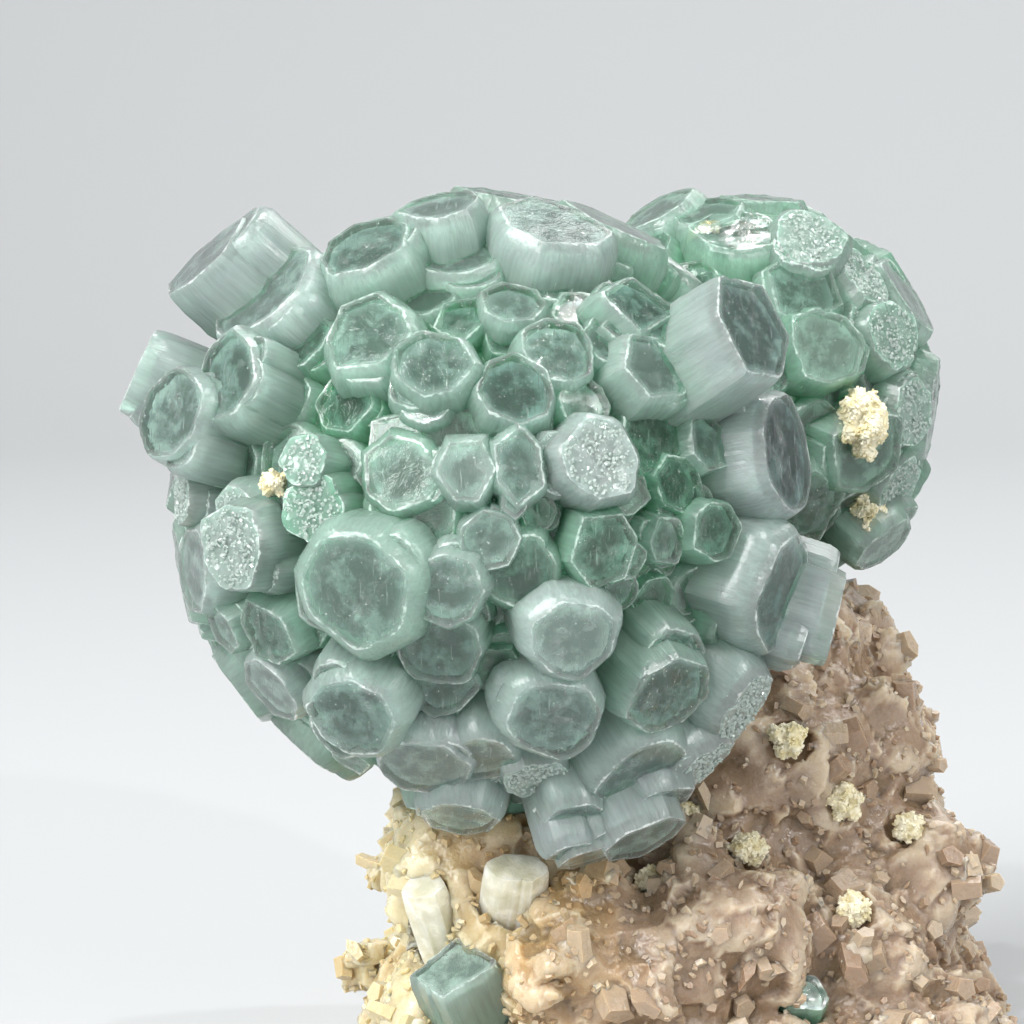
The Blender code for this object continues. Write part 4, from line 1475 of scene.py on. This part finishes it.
@dataclass(frozen=True)
class PearlFinish:
    """White stilbite: pearly and translucent, with fine lines along the blades."""

    name: str = "White pearly stilbite"
    light: str = "#f2efe0"
    dark: str = "#d0cdb6"
    ior: float = 1.5

    def make(self) -> bpy.types.Material:
        """Builds the material.

        Returns:
            The material.
        """
        material, tree, output = bare_material(self.name)
        add = partial(add_node, tree)
        grain = add("ShaderNodeAttribute", attribute_name="grain").outputs["Vector"]
        place = add("ShaderNodeTexCoord").outputs["Object"]
        # The lines are about 0.25 mm apart and the patches 1.2 mm across.
        lines = add("ShaderNodeMapping", {"Vector": grain, "Scale": (4.0, 4.0, 0.3)}).outputs[0]
        lines = add("ShaderNodeTexNoise", {"Vector": lines, "Scale": 1.0, "Detail": 3.0}).outputs["Fac"]
        patch = add(
            "ShaderNodeTexNoise", {"Vector": place, "Scale": 1 / (1.2 * MM), "Detail": 5.0}
        ).outputs["Fac"]
        share = add("ShaderNodeMapRange", {"Value": patch, "From Min": 0.35, "From Max": 0.65}).outputs[0]
        shader = add(
            "ShaderNodeBsdfPrincipled",
            {
                "IOR": self.ior,
                "Base Color": add(
                    "ShaderNodeMix", {0: share, MIX_A: self.dark, MIX_B: self.light}, data_type="RGBA"
                ).outputs[MIX_OUT],
                "Roughness": add(
                    "ShaderNodeMapRange", {"Value": patch, "To Min": 0.1, "To Max": 0.4}
                ).outputs[0],
                "Normal": add(
                    "ShaderNodeBump", {"Height": lines, "Strength": 0.6, "Distance": 0.12 * MM}
                ).outputs[0],
                "Subsurface Weight": 0.8,
                "Subsurface Radius": (1.0, 0.9, 0.7),
                "Subsurface Scale": 1.5 * MM,
            },
        )
        tree.links.new(shader.outputs["BSDF"], output.inputs["Surface"])
        return material


@dataclass(frozen=True)
class StilbiteFinish:
    """Stilbite, a pearly zeolite, as a sugary crust.

    It is translucent, cream at one end and pinkish beige at the other, with white grains, and painted
    shade turns it brown in its hollows.
    """

    name: str = "Beige stilbite crust, sugary and translucent"
    cream: str = "#cbbe95"
    tan: str = "#b4966a"
    beige: str = "#9c8570"
    # The brown of the hollows is painted shade.
    hollow: str = "#836d50"
    grain: str = "#e6dcc4"
    ior: float = 1.5

    def make(self, key: str) -> bpy.types.Material:
        """Builds the material for a mesh that stores a number under the key.

        Args:
            key: "hollow" for the crust's skin, or "tone" for its separate grains.

        Returns:
            The material.
        """
        material, tree, output = bare_material(f"{self.name}, {key}")
        add = partial(add_node, tree)
        place = add("ShaderNodeTexCoord").outputs["Object"]
        stored = add("ShaderNodeAttribute", attribute_name=key).outputs["Fac"]
        # Colour changes over 7 mm, grains over 0.7 mm and grit over 0.25 mm.
        broad, fine, grit = (
            add("ShaderNodeTexNoise", {"Vector": place, "Scale": 1 / size, "Detail": detail}).outputs[0]
            for size, detail in ((7 * MM, 3.0), (0.7 * MM, 4.0), (0.25 * MM, 2.0))
        )
        along = add("ShaderNodeSeparateXYZ", {0: place}).outputs["X"]
        along = add(
            "ShaderNodeMapRange", {"Value": along, "From Min": -16 * MM, "From Max": 8 * MM}
        ).outputs[0]
        along = add("ShaderNodeMath", {0: broad, 1: 0.9, 2: along}, operation="MULTIPLY_ADD").outputs[0]
        ramp = add("ShaderNodeValToRGB", {"Fac": along})
        set_stops(ramp, {0.45: self.cream, 0.75: self.tan, 1.0: self.beige})
        colour = ramp.outputs["Color"]
        if key == "hollow":
            # Painted shade: the skin turns brown where it lies below its surroundings.
            sunk = add("ShaderNodeMapRange", {"Value": stored, "To Max": 0.65}).outputs[0]
            colour = add(
                "ShaderNodeMix", {0: sunk, MIX_A: colour, MIX_B: self.hollow}, data_type="RGBA"
            ).outputs[MIX_OUT]
            white = add(
                "ShaderNodeMapRange", {"Value": stored, "From Min": -0.1, "From Max": -1.0, "To Max": 0.35}
            ).outputs[0]
        else:
            white = add("ShaderNodeMapRange", {"Value": stored, "To Min": 0.0, "To Max": 0.4}).outputs[0]
        colour = add(
            "ShaderNodeMix", {0: white, MIX_A: colour, MIX_B: self.grain}, data_type="RGBA"
        ).outputs[MIX_OUT]
        shader = add(
            "ShaderNodeBsdfPrincipled",
            {
                "IOR": self.ior,
                "Base Color": colour,
                "Roughness": add(
                    "ShaderNodeMapRange", {"Value": fine, "To Min": 0.08, "To Max": 0.45}
                ).outputs[0],
                "Normal": add(
                    "ShaderNodeBump", {"Height": grit, "Strength": 0.6, "Distance": 0.1 * MM}
                ).outputs[0],
                "Subsurface Weight": 0.85,
                "Subsurface Radius": (1.0, 0.8, 0.55),
                "Subsurface Scale": 2.0 * MM if key == "hollow" else 0.4 * MM,
            },
        )
        tree.links.new(shader.outputs["BSDF"], output.inputs["Surface"])
        return material


@dataclass(frozen=True)
class TuftFinish:
    """A powdery cream zeolite: matte, chalky, yellower in its hollows."""

    name: str = "Cream powdery zeolite tuft"
    light: str = "#efe9d2"
    deep: str = "#d8cca0"

    def make(self) -> bpy.types.Material:
        """Builds the material.

        Returns:
            The material.
        """
        material, tree, output = bare_material(self.name)
        add = partial(add_node, tree)
        place = add("ShaderNodeTexCoord").outputs["Object"]
        # The patches are 0.8 mm across.
        patch = add(
            "ShaderNodeTexNoise", {"Vector": place, "Scale": 1 / (0.8 * MM), "Detail": 4.0}
        ).outputs[0]
        ramp = add("ShaderNodeValToRGB", {"Fac": patch})
        set_stops(ramp, {0.35: self.deep, 0.6: self.light})
        normal = add("ShaderNodeBump", {"Height": patch, "Strength": 0.5, "Distance": 0.06 * MM}).outputs[0]
        shader = add(
            "ShaderNodeBsdfPrincipled",
            {"Base Color": ramp.outputs["Color"], "Roughness": 0.9, "Normal": normal},
        )
        tree.links.new(shader.outputs["BSDF"], output.inputs["Surface"])
        return material


@dataclass(frozen=True)
class PaperFinish:
    """Matte studio paper, pale and even."""

    name: str = "Pale matte studio paper"
    tone: str = "#b4b6b7"

    def make(self) -> bpy.types.Material:
        """Builds the material.

        Returns:
            The material.
        """
        material, tree, output = bare_material(self.name)
        shader = add_node(tree, "ShaderNodeBsdfPrincipled", {"Base Color": self.tone, "Roughness": 0.8})
        tree.links.new(shader.outputs["BSDF"], output.inputs["Surface"])
        return material


@dataclass
class StilbiteMatrix:
    """The lumpy crust that carries the balls, with its sugary grains."""

    node: str = "stilbite_matrix"
    voxel: float = 0.33 * MM
    swell: tuple[float, float] = (3.4 * MM, 0.8 * MM)
    blocks: tuple[tuple[float, float], ...] = ((2.6 * MM, 0.45), (1.1 * MM, 0.24))
    foot: float = 1.2 * MM
    hollow_passes: int = 14
    hollow_depth: float = 0.28 * MM
    sugar: Scatter = Scatter(
        600000, (0.25 * MM, 0.2 * MM, 0.25 * MM), (0.9 * MM, 0.7 * MM, 0.7 * MM), 0.7, 0.62, 5
    )
    blades: Scatter = Scatter(
        55000, (1.2 * MM, 0.9 * MM, 1.2 * MM), (2.8 * MM, 2.0 * MM, 2.4 * MM), 0.7, 0.62, 9, 3.0 * MM
    )

    def build(self, solid: bpy.types.Object, finish: StilbiteFinish) -> list[bpy.types.Object]:
        """Builds the crust's skin and its blades.

        Args:
            solid: the plain solid that the crust stands for.
            finish: what it is made of.

        Returns:
            The pieces.
        """
        skin = self.skin(solid)
        skin.data.materials.clear()
        skin.data.materials.append(finish.make("hollow"))
        skin.data.shade_smooth()
        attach(skin, BODY)
        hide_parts(self.node)
        grown = finish.make("tone")
        pieces = [skin]
        for scatter, name in ((self.sugar, "stilbite_sugar"), (self.blades, "stilbite_blades")):
            piece = scatter.over(skin.data, name, grown)
            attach(piece, BODY)
            pieces.append(piece)
        return pieces

    def skin(self, solid: bpy.types.Object) -> bpy.types.Object:
        """Roughens the plain solid into a lumpy crust, and notes how hollow each place is.

        Args:
            solid: the plain solid.

        Returns:
            The skin, with the number "hollow" at each point.
        """
        bm = bmesh.new()
        bm.from_mesh(solid.data)
        bmesh.ops.remove_doubles(bm, verts=bm.verts, dist=0.001 * MM)
        mesh = bpy.data.meshes.new("crust")
        bm.to_mesh(mesh)
        bm.free()
        skin = new_object("stilbite_crust", mesh)
        remesh = skin.modifiers.new("Even", "REMESH")
        remesh.mode = "VOXEL"
        remesh.voxel_size = self.voxel
        settle(skin)
        mesh = skin.data
        low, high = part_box(self.node)
        points = points_of(mesh)
        normals = np.empty(len(points) * 3, np.float32)
        mesh.vertices.foreach_get("normal", normals)
        normals = normals.reshape(-1, 3)
        fade = np.clip(points[:, 2] / self.foot, 0, 1)
        rise = np.array([self.rise_at(Vector(point)) for point in points])
        moved = points + normals * (rise * fade)[:, None]
        moved = np.clip(moved, np.array(low), np.array(high))
        mesh.vertices.foreach_set("co", moved.astype(np.float32).ravel())
        mesh.update()
        store(mesh, "hollow", "POINT", self.hollowness(mesh, moved, normals))
        return skin

    def rise_at(self, point: Vector) -> float:
        """Adds the crust's soft lumps and its tilted blocks, from coarse to fine, at a point."""
        size, height = self.swell
        total = height * noise.noise(point / size)
        for size, steep in self.blocks:
            middle = noise.voronoi(point / size)[1][0]
            # These tilts change from run to run: noise_vector takes its seed from the clock.
            tilt = noise.noise_vector(middle * 7.7)
            total += steep * size * ((point / size - middle).dot(tilt) + 0.3 * tilt.x)
        return total

    def hollowness(self, mesh: bpy.types.Mesh, points: np.ndarray, normals: np.ndarray) -> np.ndarray:
        """Measures how far each point lies below the average of its surroundings.

        Args:
            mesh: the skin.
            points: its points.
            normals: its directions outwards.

        Returns:
            -1 on a knob, 0 on open ground, 1 in a hollow, at each point.
        """
        ends = np.empty(len(mesh.edges) * 2, np.int32)
        mesh.edges.foreach_get("vertices", ends)
        ends = ends.reshape(-1, 2)
        counts = np.bincount(ends.ravel(), minlength=len(points)).clip(1)[:, None]
        smooth = points.copy()
        for _ in range(self.hollow_passes):
            total = np.zeros_like(smooth)
            np.add.at(total, ends[:, 0], smooth[ends[:, 1]])
            np.add.at(total, ends[:, 1], smooth[ends[:, 0]])
            smooth = total / counts
        sunk = np.einsum("ij,ij->i", smooth - points, normals)
        return np.clip(sunk / self.hollow_depth, -1, 1)


@dataclass
class SingleCrystals:
    """The larger crystals that stand on the matrix, one piece each."""

    rows: tuple[Single, ...] = SINGLES
    within: float = 0.3 * MM
    below: float = 0.7 * MM

    def build(
        self, clear: bpy.types.Material, cloudy: bpy.types.Material, pearly: bpy.types.Material
    ) -> list[bpy.types.Object]:
        """Builds each crystal where its solid stands.

        Args:
            clear: the finish of an apophyllite's skin.
            cloudy: the finish of its middle.
            pearly: the finish of a stilbite.

        Returns:
            The pieces.
        """
        pieces = []
        for row in self.rows:
            crystal = self.crystal(row)
            if row.green == 0:
                pieces.append(self.one(row.node + "_detailed", crystal, pearly))
            else:
                pieces.append(self.one(row.node + "_detailed", crystal, clear))
                inner = crystal.cloudy(self.within, self.below)
                pieces.append(self.one(row.node + "_middle", inner, cloudy))
            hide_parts(row.node)
        return pieces

    def crystal(self, row: Single) -> Crystal:
        """Describes a crystal whose cap lies at the outer end of its solid."""
        right, up, near = row.direction
        axis = (right * RIGHT + up * UP - near * AWAY).normalized()
        low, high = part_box(row.node)
        cap = (low + high) / 2 + row.length / 2 * MM * axis
        look = Look(row.green, 1.0)
        return Crystal(
            row.node, cap, axis, row.width * MM, row.length * MM, 0, row.sides, row.thick / row.width, look,
            flare=0.08,
        )

    def one(
        self, label: str, crystal: Crystal, material: bpy.types.Material
    ) -> bpy.types.Object:
        """Builds one closed crystal.

        Args:
            label: the piece's name.
            crystal: the crystal.
            material: its finish.

        Returns:
            The piece.
        """
        points, faces = crystal.shell()
        mesh = bpy.data.meshes.new(label)
        mesh.from_pydata(points.tolist(), [], faces)
        piece = new_object(label, mesh)
        middle = crystal.cap - crystal.length / 2 * crystal.axis
        holder = ApophylliteBall(
            label, label, middle, 0, crystal.length / 2, (), False, middle, crystal.axis, crystals=[crystal]
        )
        holder.number(mesh, 0)
        holder.describe(mesh, [crystal])
        mesh.materials.append(material)
        mesh.shade_smooth()
        mesh.set_sharp_from_angle(angle=SHARP_ANGLE)
        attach(piece, BODY)
        return piece


@dataclass
class CreamTufts:
    """The powdery tufts: a knobbly middle covered in small grains."""

    count: int = TUFT_COUNT
    grains: Scatter = Scatter(
        12000000, (0.16 * MM, 0.16 * MM, 0.16 * MM), (0.34 * MM, 0.34 * MM, 0.4 * MM), 1.2, 0.5, 3, -1.0
    )

    def build(self, material: bpy.types.Material) -> list[bpy.types.Object]:
        """Builds each tuft in place of its solid.

        Args:
            material: the tuft finish.

        Returns:
            The pieces.
        """
        pieces = []
        for index in range(1, self.count + 1):
            low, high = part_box(f"cream_tuft_{index}")
            middle, half = (low + high) / 2, (high - low) / 2
            tuft, grains = self.lump(f"powdery_tuft_{index}", middle, half, index, material)
            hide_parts(f"cream_tuft_{index}")
            pieces += [tuft, grains]
        for index, (centre, right, up, reach, size) in enumerate(SPECKS, 1):
            place = seen_at(centre, right * MM, up * MM, reach * MM)
            half = Vector((size, size, size)) * MM / 2
            pieces += self.lump(f"powdery_speck_{index}", place, half, index + self.count, material)
        return pieces

    def lump(
        self, name: str, middle: Vector, half: Vector, seed: int, material: bpy.types.Material
    ) -> tuple[bpy.types.Object, bpy.types.Object]:
        """Builds one knobbly lump and the grains on it.

        Args:
            name: the piece's name.
            middle: where it sits.
            half: half its size each way.
            seed: what sets its shape.
            material: its finish.

        Returns:
            The lump and its grains.
        """
        bm = bmesh.new()
        bmesh.ops.create_icosphere(bm, subdivisions=4, radius=1)
        for vert in bm.verts:
            start = Vector((seed, 0, 0)) * 7.3
            swell = noise.noise(start + vert.co * 1.8) + 0.35 * noise.noise(start + vert.co * 5)
            scaled = Vector(a * b for a, b in zip(vert.co, half))
            vert.co = middle + scaled * (0.86 + 0.5 * swell)
        mesh = bpy.data.meshes.new(name)
        bm.to_mesh(mesh)
        bm.free()
        grains = self.grains.over(mesh, name.replace("powdery", "grains_of"), material)
        mesh.materials.append(material)
        mesh.shade_smooth()
        piece = new_object(name, mesh)
        for item in (piece, grains):
            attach(item, BODY)
        return piece, grains


@dataclass
class Studio:
    """A pale sweep of paper, soft lights and the camera."""

    lens: float = 117.0
    sensor: float = 36.0
    floor_reach: float = 0.9
    sweep_start: float = 0.35
    sweep_radius: float = 0.25
    wall_height: float = 0.9
    glints: tuple[tuple[float, float, float], ...] = (
        (0.12, -0.10, 0.50),
        (-0.15, -0.25, 0.45),
        (0.30, -0.30, 0.30),
        (0.05, 0.25, 0.45),
        (-0.30, -0.10, 0.35),
    )

    def build(self, paper: bpy.types.Material) -> None:
        """Sets up the whole studio.

        Args:
            paper: the backdrop's finish.
        """
        self.camera()
        self.sweep(paper)
        self.light("key", (-0.40, -0.36, 0.50), 0.4, 5.4)
        self.light("low", (-0.36, -0.60, 0.16), 0.8, 3.4)
        self.light("fill", (0.55, -0.45, 0.25), 0.7, 2.6)
        self.light("back", (0.25, 0.35, 0.45), 0.35, 1.4)
        for number, place in enumerate(self.glints):
            self.light(f"glint_{number}", place, 0.012, 0.5)
        bpy.context.scene.view_settings.view_transform = "Standard"
        self.sky()

    def camera(self) -> None:
        """Puts the camera at the eye, looking level with the view's tilt."""
        data = bpy.data.cameras.new("camera")
        data.lens = self.lens
        data.sensor_width = self.sensor
        data.sensor_fit = "HORIZONTAL"
        data.clip_start = 0.01
        camera = bpy.data.objects.new("camera", data)
        bpy.context.scene.collection.objects.link(camera)
        camera.location = EYE
        camera.rotation_euler = (math.radians(90) - VIEW_TILT, 0, 0)
        bpy.context.scene.camera = camera

    def sweep(self, paper: bpy.types.Material) -> None:
        """Makes the floor and the wall behind it as one bent sheet.

        Args:
            paper: its finish.
        """
        arc = [math.pi / 2 * step / 12 for step in range(13)]
        profile = [(-self.floor_reach, 0.0)]
        profile += [
            (
                self.sweep_start + self.sweep_radius * math.sin(angle),
                self.sweep_radius * (1 - math.cos(angle)),
            )
            for angle in arc
        ]
        profile.append((self.sweep_start + self.sweep_radius, self.wall_height))
        bm = bmesh.new()
        edges = [
            [bm.verts.new((side * self.floor_reach, y, z)) for y, z in profile] for side in (-1, 1)
        ]
        for here in range(len(profile) - 1):
            bm.faces.new((edges[0][here], edges[1][here], edges[1][here + 1], edges[0][here + 1]))
        mesh = bpy.data.meshes.new("paper_sweep")
        bm.to_mesh(mesh)
        bm.free()
        mesh.shade_smooth()
        mesh.materials.append(paper)
        new_object("paper_sweep", mesh)

    def light(self, name: str, place: tuple[float, float, float], size: float, power: float) -> None:
        """Adds one square light aimed at the specimen.

        Args:
            name: its name.
            place: where it hangs.
            size: its side.
            power: its power in watts.
        """
        data = bpy.data.lights.new(name, "AREA")
        data.size = size
        data.energy = power
        lamp = bpy.data.objects.new(name, data)
        bpy.context.scene.collection.objects.link(lamp)
        aim = Vector((0, 0, 35 * MM)) - Vector(place)
        lamp.location = place
        lamp.rotation_euler = aim.to_track_quat("-Z", "Y").to_euler()

    def sky(self) -> None:
        """Fills the room with even, weak light."""
        world = bpy.data.worlds.new("soft_room")
        world.use_nodes = True
        world.node_tree.nodes["Background"].inputs["Color"].default_value = linear("#e4e7ea")
        world.node_tree.nodes["Background"].inputs["Strength"].default_value = 0.2
        bpy.context.scene.world = world


def suture() -> tuple[Vector, Vector]:
    """Finds the plane where the two balls met and stopped growing.

    Returns:
        A point of the plane, and the direction from the near ball to the far one.
    """
    between = BACK_CENTRE - FRONT_CENTRE
    distance = between.length
    along = (distance**2 + FRONT_REACH**2 - BACK_REACH**2) / (2 * distance)
    direction = between.normalized()
    return FRONT_CENTRE + along * direction, direction


def report(piece: bpy.types.Object) -> None:
    """Logs a piece's name and size."""
    piece.data.calc_loop_triangles()
    log.info("%s: %d triangles", piece.name, len(piece.data.loop_triangles))


def main() -> None:
    """Builds every piece in order."""
    logging.basicConfig(level=logging.INFO, format="%(message)s")
    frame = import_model()
    point, direction = suture()
    step = GAP / 2 * direction
    apophyllite = ClearFinish().make()
    cloudy = CloudyFinish().make()
    sparkling = DruseFinish().make()
    front = ApophylliteBall(
        "front_apophyllite_ball", "near_crystal_ball", FRONT_CENTRE, FRONT_CORE, FRONT_REACH,
        FRONT_ROWS, True, point - step, direction,
    )
    back = ApophylliteBall(
        "back_apophyllite_ball", "far_crystal_ball", BACK_CENTRE, BACK_CORE, BACK_REACH,
        BACK_ROWS, False, point + step, -direction, small_count=260,
    )
    pieces = []
    for ball in (front, back):
        pieces += ball.build(apophyllite, cloudy)
        pieces.append(ball.druse(sparkling))
    pieces += StilbiteMatrix().build(frame["nodes"]["stilbite_matrix"], StilbiteFinish())
    pieces += SingleCrystals().build(apophyllite, cloudy, PearlFinish().make())
    pieces += CreamTufts().build(TuftFinish().make())
    for piece in pieces:
        report(piece)
    Studio().build(PaperFinish().make())


if __name__ == "__main__":
    main()
